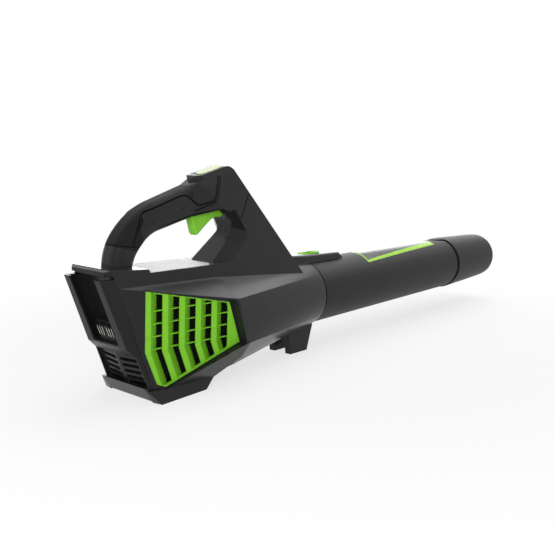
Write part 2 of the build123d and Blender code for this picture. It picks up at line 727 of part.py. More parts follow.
grille_outline = extrude(offset(profile(grille), -0.05), 120, both=True)
grille_hole = extrude(offset(profile(grille), -1.6), 130, both=True)
louvre = block(along(-325), along(-185), 0, grille_rim, -80, 80)
to_grille = Pos(grille_rear[0], -grille_rear[1], 0) * Rot(0, 0, -grille_angle) * Rot(grille_tilt, 0, 0)
rim_deep = block(along(-325), along(-185), grille_rim - 1, blade_depth, -80, 80)
top_rear, top_front = grille[0], grille[-1]
top_band = prism([(top_rear[0] - 5, top_rear[1] + 9), (top_rear[0] - 5, top_rear[1] - 3.5),
                  (top_front[0] - 2, top_front[1] - 4.5), (top_front[0] - 2, top_front[1] + 9)], 120)
rim = (((to_grille * louvre) & grille_outline) - grille_hole - top_band)
rim = rim + (((to_grille * rim_deep) & grille_outline & top_band) - grille_hole)
parts_flat = []
for i in range(blade_count):
    u = along(blade_first + i * blade_pitch)
    end = u + blade_lip + blade_run
    section = [(u, 0), (u + blade_lip, 0), (end, blade_depth), (end - 3.4, blade_depth),
               (u + blade_lip - 1.2, blade_thick), (u, blade_thick)]
    face = make_face(Plane.XY.offset(blade_bend_z) * Polyline(*section, close=True))
    parts_flat.append(extrude(face, 90))
    parts_flat.append(extrude(face, 60, dir=Vector(blade_lean, 0, -1)))
panel_x = along(-210.0)
parts_flat.append(block(panel_x, 200, 0, 2.0, -100, 100))
for j in range(bar_count):
    z = bar_top - j * bar_pitch
    parts_flat.append(block(-10, panel_x + 1, 2.6, 2.6 + bar_deep, z - bar_high / 2, z + bar_high / 2))
grille_right = rim
for piece in parts_flat:
    grille_right = grille_right + ((to_grille * piece) & grille_outline)
grille_left = mirror(grille_right, about=Plane.XZ)

# Tube and nozzle
spigot_radius = socket_radius - slide_clear
nozzle_spigot_radius = tube_end_radius - spigot_step
nozzle_spigot_bore = nozzle_spigot_radius - spigot_wall
nozzle_tip_radius = tube_end_radius - nozzle_taper
nozzle_bore_tip = nozzle_tip_radius - nozzle_rim
tube_pts = [(-spigot_length, tube_bore), (-spigot_length, spigot_radius), (0, spigot_radius), (0, seam_radius - 0.6),
            (0.8, seam_radius), (tube_length - 1, tube_end_radius), (tube_length, tube_end_radius - 0.8),
            (tube_length, nozzle_spigot_radius), (tube_length + nozzle_spigot - 1, nozzle_spigot_radius),
            (tube_length + nozzle_spigot, nozzle_spigot_radius - 0.8),
            (tube_length + nozzle_spigot, nozzle_spigot_bore), (tube_length - 8, nozzle_spigot_bore),
            (tube_length - 18, tube_end_radius - tube_wall), (catch_x + 22, seam_radius - tube_wall - 0.4),
            (catch_x + 10, tube_bore)]
tube = turned(tube_pts)
tube = tube - block(catch_x - catch_half - 1.6, catch_x + catch_half + 1.6, -catch_wide - 1.6, catch_wide + 1.6,
                    43.3, 60)
noz_x = tube_length + nozzle_gap
noz_end = noz_x + nozzle_length
noz_bore = nozzle_spigot_radius + slide_clear
noz_stop = tube_length + nozzle_spigot + 1.0
nozzle_pts = [(noz_x, noz_bore), (noz_x, tube_end_radius + nozzle_step - 1.0), (noz_x + 1.0, tube_end_radius + nozzle_step),
              (noz_x + 68, tube_end_radius - 1.0), (noz_x + 108, tube_end_radius - 2.6), (noz_end - 12, tube_end_radius - 3.6),
              (noz_end - 5.5, nozzle_tip_radius), (noz_end - 1.5, nozzle_tip_radius - 1.7),
              (noz_end, nozzle_tip_radius - 3.0), (noz_end - 0.6, nozzle_bore_tip),
              (noz_end - 10, nozzle_bore_tip), (noz_end - 15, nozzle_tip_radius - 1.4),
              (noz_x + 100, tube_end_radius - 2.4 - tube_wall), (noz_stop + 8, tube_end_radius - 0.8 - tube_wall),
              (noz_stop, nozzle_spigot_bore), (noz_stop, noz_bore)]
nozzle = turned(nozzle_pts)
seal_in = spigot_radius + 0.3
seal = rod(seal_x + 0.05, seal_x + seal_width - 0.05, socket_radius + seal_depth) - rod(-60, 10, seal_in)

# Release button with its catch and spring
flange_top_z = release_roof - 0.3
flange_low_z = flange_top_z - release_flange
release = Pos(release_x, 0, flange_low_z) * extrude(SlotOverall(release_long + 3, release_wide + 3), release_flange)
release = release + Pos(release_x, 0, flange_low_z) * extrude(
    SlotOverall(release_long, release_wide), release_top + release_proud - flange_low_z)
release = release + block(catch_x - catch_half, catch_x + catch_half, -catch_wide, catch_wide, seam_radius + 0.4,
                          flange_low_z + 0.5)
release_spring = coil(8.0, release_floor, flange_low_z, 4.5, 0.55, 2.25)

# Trigger, its pin, spring and switch
trigger_points = [(-216.5, 126), (-210.8, 105), (-208.6, 102.2), (-205.6, 103.2), (-193.7, 112.4), (-183.7, 119.4), (-177, 122),
                  (-167.5, 121.8), (-163.6, 126), (-162.5, 134), (-162.5, 143), (-172, 144.5), (-196, 140.5), (-215, 140.5)]
trigger_face = profile(trigger_points)
trigger_face = fillet(corners_near(trigger_face, [(-183.7, 119.4), (-177, 122)]), 10.0)
trigger = extrude(trigger_face, trigger_half, both=True)
trigger_edges = []
for e in trigger.edges():
    c = e.center()
    if abs(abs(c.Y) - trigger_half) < 0.01 and c.Z < 126 and c.X < -172:
        trigger_edges.append(e)
trigger = fillet(trigger_edges, 2.0)
trigger = trigger - cross_rod(pin_x, pin_z, -20, 20, trigger_pin_radius + 0.08)
trigger_pin = cross_rod(pin_x, pin_z, -pin_reach, pin_reach, trigger_pin_radius)
switch_low = 152.0
trigger_spring = coil(-205.0, 140.5, switch_low, 3.4, 0.7, 4.0)
trigger_switch = block(-211.5, -184.5, -7, 7, switch_low, 161)

turbo_button = on_pad(SlotOverall(turbo_long, turbo_wide), -4.5, turbo_proud)
turbo_button = turbo_button + on_pad(SlotOverall(turbo_long + 2.6, turbo_wide + 2.6), -5.2, -3.5)
turbo_spring = pad * coil(0.0, -9.8, -5.2, 3.2, 0.55, 2.5)
turbo_switch = on_pad(Rectangle(9.5, 12), -14, -9.8)

# Fan duct with bell mouth, guide vanes and motor hub
duct_in = duct_radius - duct_wall
duct_pts = [(duct_front, duct_in), (duct_front, duct_radius), (duct_rear - 3, duct_radius),
            (bell_rear + 4, bell_radius + 0.4), (bell_rear, bell_radius + 2), (bell_rear, bell_radius),
            (bell_rear + 5, duct_in + 3.2), (bell_rear + 11, duct_in + 1.0), (duct_rear, duct_in)]
duct = turned(duct_pts)
hub_in = hub_radius - hub_wall
hub = rod(hub_rear, hub_front, hub_radius) - rod(hub_rear + 3, hub_front + 1, hub_in) - rod(hub_rear - 1, -100, 6.0)
vane_band = rod(-104, -52, duct_radius - 0.8) - rod(-110, -40, hub_radius - 0.8)
vane_mid = (hub_radius + duct_radius) / 2
for k in range(vane_count):
    plate = Pos(-78, 0, -vane_mid) * Rot(0, 0, vane_pitch) * Box(48, vane_thick, duct_radius - hub_radius + 4)
    if k == 0:
        plate = Pos(-78, 0, -vane_mid) * Box(48, cable_vane, duct_radius - hub_radius + 4)
    hub = hub + (Rot(k * 360 / vane_count, 0, 0) * plate & vane_band)
cable_x = -96.0
motor_screw_ring = 13.5
fan_duct = duct + hub
fan_duct = fan_duct - Pos(cable_x, 0, -34) * Cylinder(lead_radius + 0.5, 34)
for k in range(3):
    a = math.radians(90 + 120 * k)
    spot = Location((0, motor_screw_ring * math.cos(a), motor_screw_ring * math.sin(a)))
    fan_duct = fan_duct - rod(hub_rear - 1, hub_rear + 4, 1.7).moved(spot)

fan_tip = duct_in - fan_tip_clear
fan = turned([(fan_rear, shaft_radius), (fan_rear, 18.5), (fan_front, hub_radius - 1), (fan_front, shaft_radius)])
fan_band = rod(fan_rear, fan_front, fan_tip) - rod(fan_rear, fan_front, 17)
for k in range(fan_blades):
    fan_x = (fan_rear + fan_front) / 2
    plate = Pos(fan_x, 0, 30) * Rot(0, 0, fan_blade_pitch) * Box(fan_blade_chord, fan_blade_thick, 30)
    fan = fan + (Rot(k * 360 / fan_blades, 0, 0) * plate & fan_band)
nut_face = Plane(origin=(fan_rear - 4, 0, 0), z_dir=(1, 0, 0)) * (RegularPolygon(5.0, 6) - Circle(shaft_radius))
fan_nut = extrude(nut_face, 4)

can_rear = hub_rear + 3.0
can_front = -54.0
can_radius = hub_in - 0.05
can_bearing = can_rear + 3.5
cap_front = -51.0
cap_bearing = -60.0
motor_can = rod(can_rear, can_front, can_radius) - rod(can_rear + 3.4, can_front + 1, can_radius - can_wall)
motor_can = motor_can + rod(can_rear, can_bearing + bearing_width, bearing_radius + 2.5)
motor_can = motor_can - rod(can_bearing, can_front, bearing_radius) - rod(can_rear - 1, can_front, 4.5)
motor_can = motor_can - Pos(cable_x, 0, -20) * Cylinder(lead_radius + 0.3, 8)
motor_cap = rod(can_front, cap_front, can_radius) + rod(cap_bearing, can_front, bearing_radius + 2.5)
motor_cap = motor_cap - rod(cap_bearing - 1, cap_bearing + bearing_width + 0.8, bearing_radius)
shaft_end = cap_bearing + bearing_width
shaft = rod(shaft_rear, shaft_end, shaft_radius)
bearings = []
for x in (can_bearing, cap_bearing):
    bearings.append(rod(x, x + bearing_width, bearing_radius) - rod(x - 1, x + 9, shaft_radius + bearing_run))
motor_bearings = bearings
stack_rear = -93.0
stack_front = -65.0
stack_radius = can_radius - can_wall - 0.03
stator = rod(stack_rear, stack_front, stack_radius) - rod(-120, -40, stack_radius - 2.6)
coils = []
stack_mid = (stack_rear + stack_front) / 2
stack_long = stack_front - stack_rear
for k in range(6):
    tooth = Pos(stack_mid, 0, 14.2) * Box(stack_long, 3.6, 7.0)
    coil_box = Pos(stack_mid, 0, 13.8) * (Box(stack_long + 5, 8.6, 4.6) - Box(stack_long + 0.1, 3.7, 6))
    stator = stator + Rot(30 + k * 60, 0, 0) * tooth
    coils.append(Rot(30 + k * 60, 0, 0) * coil_box)
windings = coils
magnet = rod(stack_rear + 1, stack_front - 1, 9.9) - rod(-120, -40, shaft_radius)
motor_screws = []
for k in range(3):
    a = math.radians(90 + 120 * k)
    spot = Location((0, motor_screw_ring * math.cos(a), motor_screw_ring * math.sin(a)))
    tap = rod(can_rear - 1, can_rear + 3.5, 1.5 + screw_fit).moved(spot)
    motor_can = motor_can - tap
    screw = rod(hub_rear - 2.2, hub_rear, 2.8) + rod(hub_rear, can_rear + 3.2, 1.5)
    motor_screws.append(screw.moved(spot))
motor_screw_set = motor_screws
tail_cone = turned([(hub_front - 4.8, can_radius), (hub_front, can_radius), (hub_front, hub_radius), (-20, 19),
                    (cone_front, cone_tip), (cone_front, 0), (cone_front - 3, 0), (cone_front - 3, cone_tip - 1.6),
                    (-21, 16.8), (hub_front, 19), (hub_front - 4.8, 19)])

# Controller board with heat sink, capacitors and leads
board_top = board_z + board_thick
board = block(board_x0, board_x1, -board_half, board_half, board_z, board_top)
board_screws = []
for x, y in post_points:
    board = board - Pos(x, y, board_z) * Cylinder(1.7, 10)
    head = Pos(x, y, board_top + 1) * Cylinder(2.9, 2)
    board_screws.append(head + Pos(x, y, board_top - 4.3) * Cylinder(1.5, 8.6))
board_screw_set = board_screws
sink = block(-290, -262, -21, 21, board_top, board_top + 3)
for i in range(8):
    y = -21 + i * 5.75
    sink = sink + block(-290, -262, y, y + 1.75, board_top, board_top + 14)
capacitors = [Pos(-246, y, board_top + 12.5) * Cylinder(6.25, 25) for y in (-13, 13)]

battery_runs = []
for s in (1, -1):
    p0 = dock.from_local_coords(Vector(s * lead_x, lead_v, -dock_floor + 0.05))
    p1 = dock.from_local_coords(Vector(s * lead_x, lead_v, -dock_floor - 14))
    p2 = Vector(board_x0 + 4, -s * lead_x, board_top + 16)
    p3 = Vector(board_x0 + 4, -s * lead_x, board_top)
    battery_runs.append(wire_run([p0, p1, p2, p3], 4.0, lead_radius))
battery_leads = battery_runs
motor_lead = wire_run([(board_x1 - 6, 0, board_top), (board_x1 - 6, 0, -45), (-196, 0, -45), (-178, 0, -54),
                       (-156, 0, -54), (-144, 0, -49.5), (-110, 0, -47.2), (cable_x, 0, -47.2), (cable_x, 0, -17.5)],
                      2.6, lead_radius)
control_lead = wire_run([(-211.6, 0, 156), (-222, 0, 156), (-236, 0, 150), (-256, 0, 143.5), (-294, 0, 129), (-312, 0, 116),
                         (-325.5, 0, 101), (-325.5, 0, 88), (-322, 0, 62), (-304, 0, 20), (-304, 0, -22), (-294, 0, -34),
                         (-294, 0, board_top)], 4.0, 1.3)

housing_screws = []
for x, z in screw_points:
    head = cross_rod(x, z, screw_seat, screw_seat + screw_head_high, screw_head_radius)
    housing_screws.append(head + cross_rod(x, z, -screw_reach, screw_seat, screw_radius))
screw_set = housing_screws

pieces = {
    "housing_right": housing_right,
    "housing_left": housing_left,
    "grip_skin_right": soft_right,
    "grip_skin_left": soft_left,
    "rear_cover": cover,
    "terminal_block": terminal_block,
    "terminal_blades": terminal_blades,
    "intake_grille_right": grille_right,
    "intake_grille_left": grille_left,
    "blower_tube": tube,
    "nozzle": nozzle,
    "tube_seal": seal,
    "release_button": release,
    "release_spring": release_spring,
    "trigger": trigger,
    "trigger_pin": trigger_pin,
    "trigger_spring": trigger_spring,
    "trigger_switch": trigger_switch,
    "turbo_button": turbo_button,
    "turbo_spring": turbo_spring,
    "turbo_switch": turbo_switch,
    "fan_duct": fan_duct,
    "fan_rotor": fan,
    "fan_nut": fan_nut,
    "motor_can": motor_can,
    "motor_cap": motor_cap,
    "motor_shaft": shaft,
    "motor_bearings": motor_bearings,
    "motor_stator": stator,
    "motor_windings": windings,
    "motor_magnet": magnet,
    "motor_screws": motor_screw_set,
    "tail_cone": tail_cone,
    "controller_board": board,
    "board_screws": board_screw_set,
    "heat_sink": sink,
    "capacitors": capacitors,
    "battery_leads": battery_leads,
    "motor_lead": motor_lead,
    "control_lead": control_lead,
    "housing_screws": screw_set,
}

# The finished frame: bottom centre of the whole blower at the origin
rear_end = cover.bounding_box().min.X
place = Location((-(noz_end + rear_end) / 2, 0, axis_height))
for name, solid in pieces.items():
    if isinstance(solid, list):
        solid = Compound([one.moved(place) for group in solid for one in group.solids()])
    else:
        solid = solid.moved(place)
    export_step(solid, "parts/" + name + ".step")
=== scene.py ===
import bpy
import bmesh
import math
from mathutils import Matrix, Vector
from mathutils.bvhtree import BVHTree


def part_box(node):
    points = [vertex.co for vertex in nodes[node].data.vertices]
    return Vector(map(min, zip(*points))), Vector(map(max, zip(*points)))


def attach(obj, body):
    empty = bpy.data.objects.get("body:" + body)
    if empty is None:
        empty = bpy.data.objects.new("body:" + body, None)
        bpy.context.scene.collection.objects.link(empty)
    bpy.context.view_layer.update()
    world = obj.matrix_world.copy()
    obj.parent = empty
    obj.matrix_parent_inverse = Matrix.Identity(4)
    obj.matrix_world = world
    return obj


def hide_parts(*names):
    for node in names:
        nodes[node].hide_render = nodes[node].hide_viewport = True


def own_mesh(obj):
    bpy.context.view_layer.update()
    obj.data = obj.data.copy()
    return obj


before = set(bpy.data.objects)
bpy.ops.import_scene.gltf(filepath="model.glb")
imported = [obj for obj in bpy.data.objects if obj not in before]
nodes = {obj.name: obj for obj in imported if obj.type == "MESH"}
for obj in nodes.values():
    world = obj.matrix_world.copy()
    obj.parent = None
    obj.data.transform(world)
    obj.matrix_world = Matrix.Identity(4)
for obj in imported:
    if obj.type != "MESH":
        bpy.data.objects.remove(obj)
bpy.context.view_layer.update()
print("frame loaded,", len(nodes), "nodes")

mm = 0.001
spigotMm = 28  # the end of the tube that sits inside the neck
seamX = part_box("blower_tube")[0].x + spigotMm * mm  # the body meets the tube here
axisZ = (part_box("nozzle")[0].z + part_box("nozzle")[1].z) / 2


def at(x, y, z):  # millimetres from the seam on the tube axis, to the row frame
    return Vector((seamX + x * mm, y * mm, axisZ + z * mm))


def hexColour(text):  # sRGB hex to linear
    parts = [int(text[i:i + 2], 16) / 255 for i in (1, 3, 5)]
    return tuple(c / 12.92 if c <= 0.04045 else ((c + 0.055) / 1.055) ** 2.4 for c in parts) + (1.0,)


def addNode(tree, kind, values=None, links=None, **settings):
    node = tree.nodes.new(kind)
    for key, value in settings.items():
        setattr(node, key, value)
    for key, value in (values or {}).items():
        node.inputs[key].default_value = value
    for key, socket in (links or {}).items():
        tree.links.new(socket, node.inputs[key])
    return node


def bareMaterial(name):
    mat = bpy.data.materials.new(name)
    mat.use_nodes = True
    mat.node_tree.nodes.clear()
    return mat, mat.node_tree


def perMm(size):  # texture scale whose features are this many millimetres across
    return 1 / (size * mm)


# camera and studio, places in mm from the seam
studio = {
    "eye": (-867.18, -738.84, 222.54),
    "back": (-0.72876, -0.66243, 0.17348),  # from the object to the eye
    "sensorMm": 36, "focalPixels": 800, "framePixels": 554,
    "clipM": (0.05, 60),
    "white": (1, 1, 1, 1),
    "paper": (0.82, 0.82, 0.82, 1),
    "floorReachM": 14.0,
    "floorShade": 0.3,  # how much of the paper's own shading shows near the object
    "shadeFrom": 0.30, "shadeTo": 0.75,  # m from the middle, where that shading fades out to plain white
    "ambient": 0.30,
    "lamps": [  # name, place, aim, width m, height m, watts, seen in gloss
        ("overheadSoftbox", (700, 60, 1150), (-60, 0, 0), 1.6, 1.2, 15.0, True),
        ("farStrip", (950, 950, 300), (-60, 0, 60), 2.0, 0.5, 7.0, True),
        ("rearKey", (-1250, -800, 380), (-150, 0, 20), 1.0, 0.8, 16.0, False),
    ],
}


def pointAlong(thing, way):  # cameras and lamps look down their own -Z
    thing.rotation_mode = "QUATERNION"
    thing.rotation_quaternion = way.to_track_quat("-Z", "Y")


def seenByEye(tree):  # 1 for the rays that show the backdrop: camera, glossy and transmission
    path = addNode(tree, "ShaderNodeLightPath")
    seen = path.outputs["Is Camera Ray"]
    for ray in ("Is Glossy Ray", "Is Transmission Ray"):
        both = addNode(tree, "ShaderNodeMath", operation="MAXIMUM", links={0: seen, 1: path.outputs[ray]})
        seen = both.outputs[0]
    return seen


def placeCamera(scene):
    cam = bpy.data.objects.new("photoCamera", bpy.data.cameras.new("photoCamera"))
    scene.collection.objects.link(cam)
    cam.data.sensor_width = studio["sensorMm"]
    cam.data.lens = studio["sensorMm"] * studio["focalPixels"] / studio["framePixels"]
    cam.data.clip_start, cam.data.clip_end = studio["clipM"]
    cam.location = at(*studio["eye"])
    pointAlong(cam, -Vector(studio["back"]))
    scene.camera = cam


def hangLamps(scene):
    for name, place, aim, wide, high, watts, glossy in studio["lamps"]:
        lamp = bpy.data.lights.new(name, "AREA")
        lamp.shape, lamp.size, lamp.size_y, lamp.energy = "RECTANGLE", wide, high, watts
        holder = bpy.data.objects.new(name, lamp)
        holder.location = at(*place)
        holder.visible_camera = False
        holder.visible_glossy = glossy
        pointAlong(holder, at(*aim) - at(*place))
        scene.collection.objects.link(holder)


def whiteWorld(scene):
    scene.world = bpy.data.worlds.new("whiteStudio")
    scene.world.use_nodes = True
    tree = scene.world.node_tree
    tree.nodes.clear()
    level = addNode(tree, "ShaderNodeMapRange", {"To Min": studio["ambient"], "To Max": 1.0},
                    {"Value": seenByEye(tree)})
    sky = addNode(tree, "ShaderNodeBackground", {"Color": studio["white"]}, {"Strength": level.outputs[0]})
    addNode(tree, "ShaderNodeOutputWorld", links={"Surface": sky.outputs[0]})


def layFloor(scene):
    reach = studio["floorReachM"]
    mesh = bpy.data.meshes.new("studioFloor")
    mesh.from_pydata([(-reach, -reach, 0), (reach, -reach, 0), (reach, reach, 0), (-reach, reach, 0)], [],
                     [(0, 1, 2, 3)])
    floor = bpy.data.objects.new("studioFloor", mesh)
    scene.collection.objects.link(floor)
    # seamless paper, matte: white to the eye, with a soft shadow left on it
    mat, tree = bareMaterial("matteWhitePaper")
    place = addNode(tree, "ShaderNodeNewGeometry")
    away = addNode(tree, "ShaderNodeVectorMath", operation="LENGTH", links={0: place.outputs["Position"]})
    white = addNode(tree, "ShaderNodeMapRange",
                    {"From Min": studio["shadeFrom"], "From Max": studio["shadeTo"],
                     "To Min": 1 - studio["floorShade"], "To Max": 1.0},
                    {"Value": away.outputs["Value"]}, interpolation_type="SMOOTHSTEP")
    share = addNode(tree, "ShaderNodeMath", operation="MULTIPLY",
                    links={0: seenByEye(tree), 1: white.outputs[0]})
    paper = addNode(tree, "ShaderNodeBsdfDiffuse", {"Color": studio["paper"]})
    glow = addNode(tree, "ShaderNodeEmission", {"Color": studio["white"], "Strength": 1.0})
    both = addNode(tree, "ShaderNodeMixShader",
                   links={0: share.outputs[0], 1: paper.outputs[0], 2: glow.outputs[0]})
    addNode(tree, "ShaderNodeOutputMaterial", links={"Surface": both.outputs[0]})
    mesh.materials.append(mat)


bpy.context.scene.view_settings.view_transform = "Standard"
placeCamera(bpy.context.scene)
hangLamps(bpy.context.scene)
whiteWorld(bpy.context.scene)
layFloor(bpy.context.scene)
print("studio and camera set")

# plastics: a clouded colour, grain in the gloss, and edges slightly rounded and rubbed paler
plasticSkin = {
    "span": {"From Min": 0.3, "From Max": 0.7},  # where most of a noise lies
    "cloud": {"Detail": 3.0, "Roughness": 0.6},
    "grain": {"Detail": 2.0, "Roughness": 0.55},
    "edge": {"From Min": 0.985, "From Max": 0.88},  # how far the normal bends, from a flat face to an edge
    "wear": 0.5,  # how much of an edge is rubbed
    "bevelSamples": 6,
}


def plasticMaterial(name, look):
    mat, tree = bareMaterial(name)
    span = plasticSkin["span"]
    place = addNode(tree, "ShaderNodeTexCoord")
    cloud = addNode(tree, "ShaderNodeTexNoise", {"Scale": perMm(look["cloudMm"]), **plasticSkin["cloud"]},
                    {"Vector": place.outputs["Object"]})
    grain = addNode(tree, "ShaderNodeTexNoise", {"Scale": perMm(look["grainMm"]), **plasticSkin["grain"]},
                    {"Vector": place.outputs["Object"]})
    tone = addNode(tree, "ShaderNodeMapRange", span, {"Value": cloud.outputs[0]})
    paint = addNode(tree, "ShaderNodeMix", {6: hexColour(look["dark"]), 7: hexColour(look["light"])},
                    {0: tone.outputs[0]}, data_type="RGBA")
    dull = addNode(tree, "ShaderNodeMapRange",
                   {**span, "To Min": look["rough"][0], "To Max": look["rough"][1]},
                   {"Value": grain.outputs[0]})
    rounded = addNode(tree, "ShaderNodeBevel", {"Radius": look["edgeMm"] * mm},
                      samples=plasticSkin["bevelSamples"])
    flat = addNode(tree, "ShaderNodeNewGeometry")
    bent = addNode(tree, "ShaderNodeVectorMath", operation="DOT_PRODUCT",
                   links={0: rounded.outputs[0], 1: flat.outputs["True Normal"]})
    edge = addNode(tree, "ShaderNodeMapRange", plasticSkin["edge"], {"Value": bent.outputs["Value"]})
    rubbed = addNode(tree, "ShaderNodeMath", operation="MULTIPLY",
                     links={0: edge.outputs[0], 1: tone.outputs[0]})
    rubbed = addNode(tree, "ShaderNodeMath", {1: plasticSkin["wear"]}, {0: rubbed.outputs[0]},
                     operation="MULTIPLY")
    worn = addNode(tree, "ShaderNodeMix", {7: hexColour(look.get("worn", look["light"]))},
                   {0: rubbed.outputs[0], 6: paint.outputs[2]}, data_type="RGBA")
    bump = addNode(tree, "ShaderNodeBump", {"Strength": look["bump"], "Distance": look["depthMm"] * mm},
                   {"Height": grain.outputs[0], "Normal": rounded.outputs[0]})
    skin = addNode(tree, "ShaderNodeBsdfPrincipled",
                   {"IOR": look["ior"], "Metallic": 0.0, **look.get("extra", {})},
                   {"Base Color": worn.outputs[2], "Roughness": dull.outputs[0], "Normal": bump.outputs[0]})
    addNode(tree, "ShaderNodeOutputMaterial", links={"Surface": skin.outputs[0]})
    return mat


# metals: fine lines left by the tool, in the colour, the gloss and the surface
metalSkin = {"lineDetail": 3.0, "lineDepthMm": 0.02}


def metalMaterial(name, look):
    mat, tree = bareMaterial(name)
    place = addNode(tree, "ShaderNodeTexCoord")
    streak = addNode(tree, "ShaderNodeMapping", {"Scale": look["stretch"]},
                     {"Vector": place.outputs["Object"]})
    lines = addNode(tree, "ShaderNodeTexNoise",
                    {"Scale": perMm(look["lineMm"]), "Detail": metalSkin["lineDetail"]},
                    {"Vector": streak.outputs[0]})
    paint = addNode(tree, "ShaderNodeMix", {6: hexColour(look["dark"]), 7: hexColour(look["light"])},
                    {0: lines.outputs[0]}, data_type="RGBA")
    dull = addNode(tree, "ShaderNodeMapRange", {"To Min": look["rough"][0], "To Max": look["rough"][1]},
                   {"Value": lines.outputs[0]})
    bump = addNode(tree, "ShaderNodeBump",
                   {"Strength": look["bump"], "Distance": metalSkin["lineDepthMm"] * mm},
                   {"Height": lines.outputs[0]})
    skin = addNode(tree, "ShaderNodeBsdfPrincipled", {"Metallic": 1.0},
                   {"Base Color": paint.outputs[2], "Roughness": dull.outputs[0], "Normal": bump.outputs[0]})
    addNode(tree, "ShaderNodeOutputMaterial", links={"Surface": skin.outputs[0]})
    return mat


# glass-filled nylon, moulded against a spark-eroded tool: near black with an even dull grain, and a skin
# that only shines at a grazing view; the 0.4 mm grain is drawn at 1.6 mm to show
sparkNylon = plasticMaterial("sparkMouldedNylon", {
    "dark": "#161617", "light": "#1b1b1c", "rough": (0.42, 0.54), "ior": 1.5, "grainMm": 1.6, "cloudMm": 45,
    "bump": 0.10, "depthMm": 0.12, "edgeMm": 1.6, "worn": "#3a3a3b",
    "extra": {"Specular IOR Level": 0.05, "Coat Weight": 0.75, "Coat IOR": 1.3, "Coat Roughness": 0.2}})
# the same nylon on the rear cover, a shade greyer where the pack rubs along it
coverNylon = plasticMaterial("rubbedCoverNylon", {
    "dark": "#151516", "light": "#1c1c1d", "rough": (0.45, 0.60), "ior": 1.5, "grainMm": 1.6, "cloudMm": 30,
    "bump": 0.10, "depthMm": 0.12, "edgeMm": 1.2, "worn": "#444445",
    "extra": {"Specular IOR Level": 0.04, "Coat Weight": 0.6, "Coat IOR": 1.3, "Coat Roughness": 0.24}})
# thermoplastic rubber moulded over the grip: blacker and duller than the nylon, with a faint sheen
softRubber = plasticMaterial("overmouldedSoftRubber", {
    "dark": "#0e0e0f", "light": "#141415", "rough": (0.52, 0.64), "ior": 1.48, "grainMm": 1.2, "cloudMm": 30,
    "bump": 0.14, "depthMm": 0.15, "edgeMm": 0.8,
    "extra": {"Sheen Weight": 0.02, "Sheen Roughness": 0.5, "Specular IOR Level": 0.17}})
# polypropylene tube, extruded and smooth: a wide soft highlight with hardly any grain
smoothTube = plasticMaterial("extrudedPolypropyleneTube", {
    "dark": "#141415", "light": "#19191a", "rough": (0.46, 0.54), "ior": 1.5, "grainMm": 3.0, "cloudMm": 60,
    "bump": 0.03, "depthMm": 0.08, "edgeMm": 0.8, "worn": "#3a3a3b", "extra": {"Specular IOR Level": 0.24}})
# lime ABS, moulded satin: bright and even, a clean soft highlight
limeAbs = plasticMaterial("satinLimeAbs", {
    "dark": "#6aae1e", "light": "#74ba26", "rough": (0.38, 0.46), "ior": 1.53, "grainMm": 2.0, "cloudMm": 25,
    "bump": 0.03, "depthMm": 0.06, "edgeMm": 0.6, "extra": {"Specular IOR Level": 0.3}})
# the same ABS on the release button, grained for the fingertip: duller, so its colour holds at a grazing view
limeGrained = plasticMaterial("grainedLimeAbs", {
    "dark": "#6cb41a", "light": "#78c222", "rough": (0.50, 0.60), "ior": 1.53, "grainMm": 1.2, "cloudMm": 25,
    "bump": 0.06, "depthMm": 0.08, "edgeMm": 0.6, "extra": {"Specular IOR Level": 0.08}})
# pale acrylic button cap, polished tool: creamy green white with a sharper glint
paleAcrylic = plasticMaterial("polishedPaleAcrylic", {
    "dark": "#dcebb8", "light": "#e6f2c8", "rough": (0.18, 0.26), "ior": 1.49, "grainMm": 3.0, "cloudMm": 12,
    "bump": 0.01, "depthMm": 0.03, "edgeMm": 0.8})
# nylon of the ducts, switches and fan, moulded: dark and dull, seen only in shade
ductPlastic = plasticMaterial("mouldedDuctNylon", {
    "dark": "#161617", "light": "#1c1c1d", "rough": (0.5, 0.62), "ior": 1.5, "grainMm": 2.0, "cloudMm": 30,
    "bump": 0.08, "depthMm": 0.1, "edgeMm": 0.5})
# nitrile rubber of the seal and the lead jackets, moulded: black, hardly any gloss
nitrile = plasticMaterial("mouldedNitrile", {
    "dark": "#101011", "light": "#161617", "rough": (0.6, 0.72), "ior": 1.52, "grainMm": 1.5, "cloudMm": 10,
    "bump": 0.05, "depthMm": 0.06, "edgeMm": 0.3})
# silicone jacket of the battery leads, extruded: deep red and satin
redJacket = plasticMaterial("redSiliconeJacket", {
    "dark": "#6d0d0c", "light": "#7d1412", "rough": (0.45, 0.55), "ior": 1.43, "grainMm": 1.5, "cloudMm": 10,
    "bump": 0.03, "depthMm": 0.05, "edgeMm": 0.3})
# glass-epoxy board under green lacquer: dark green with a wet gloss
boardLacquer = plasticMaterial("greenLacqueredEpoxy", {
    "dark": "#0c3a1c", "light": "#13492a", "rough": (0.25, 0.35), "ior": 1.55, "grainMm": 1.2, "cloudMm": 6,
    "bump": 0.03, "depthMm": 0.05, "edgeMm": 0.2})
# vinyl sleeve shrunk on the capacitors: blue black and smooth
sleeveBlue = plasticMaterial("shrunkVinylSleeve", {
    "dark": "#101426", "light": "#161b33", "rough": (0.3, 0.38), "ior": 1.53, "grainMm": 2.0, "cloudMm": 8,
    "bump": 0.02, "depthMm": 0.04, "edgeMm": 0.4})
# nickel-plated contact spring, rolled strip: bright, fine rolling lines
nickelStrip = metalMaterial("rolledNickelStrip", {
    "dark": "#c9c6bf", "light": "#e6e3dc", "rough": (0.16, 0.30), "lineMm": 0.8,
    "stretch": (1, 1, 0.15), "bump": 0.05})
# steel, ground: grey with fine lines along the work
groundSteel = metalMaterial("groundSteel", {
    "dark": "#8d8d8f", "light": "#b5b5b6", "rough": (0.25, 0.38), "lineMm": 0.8,
    "stretch": (0.2, 1, 1), "bump": 0.06})
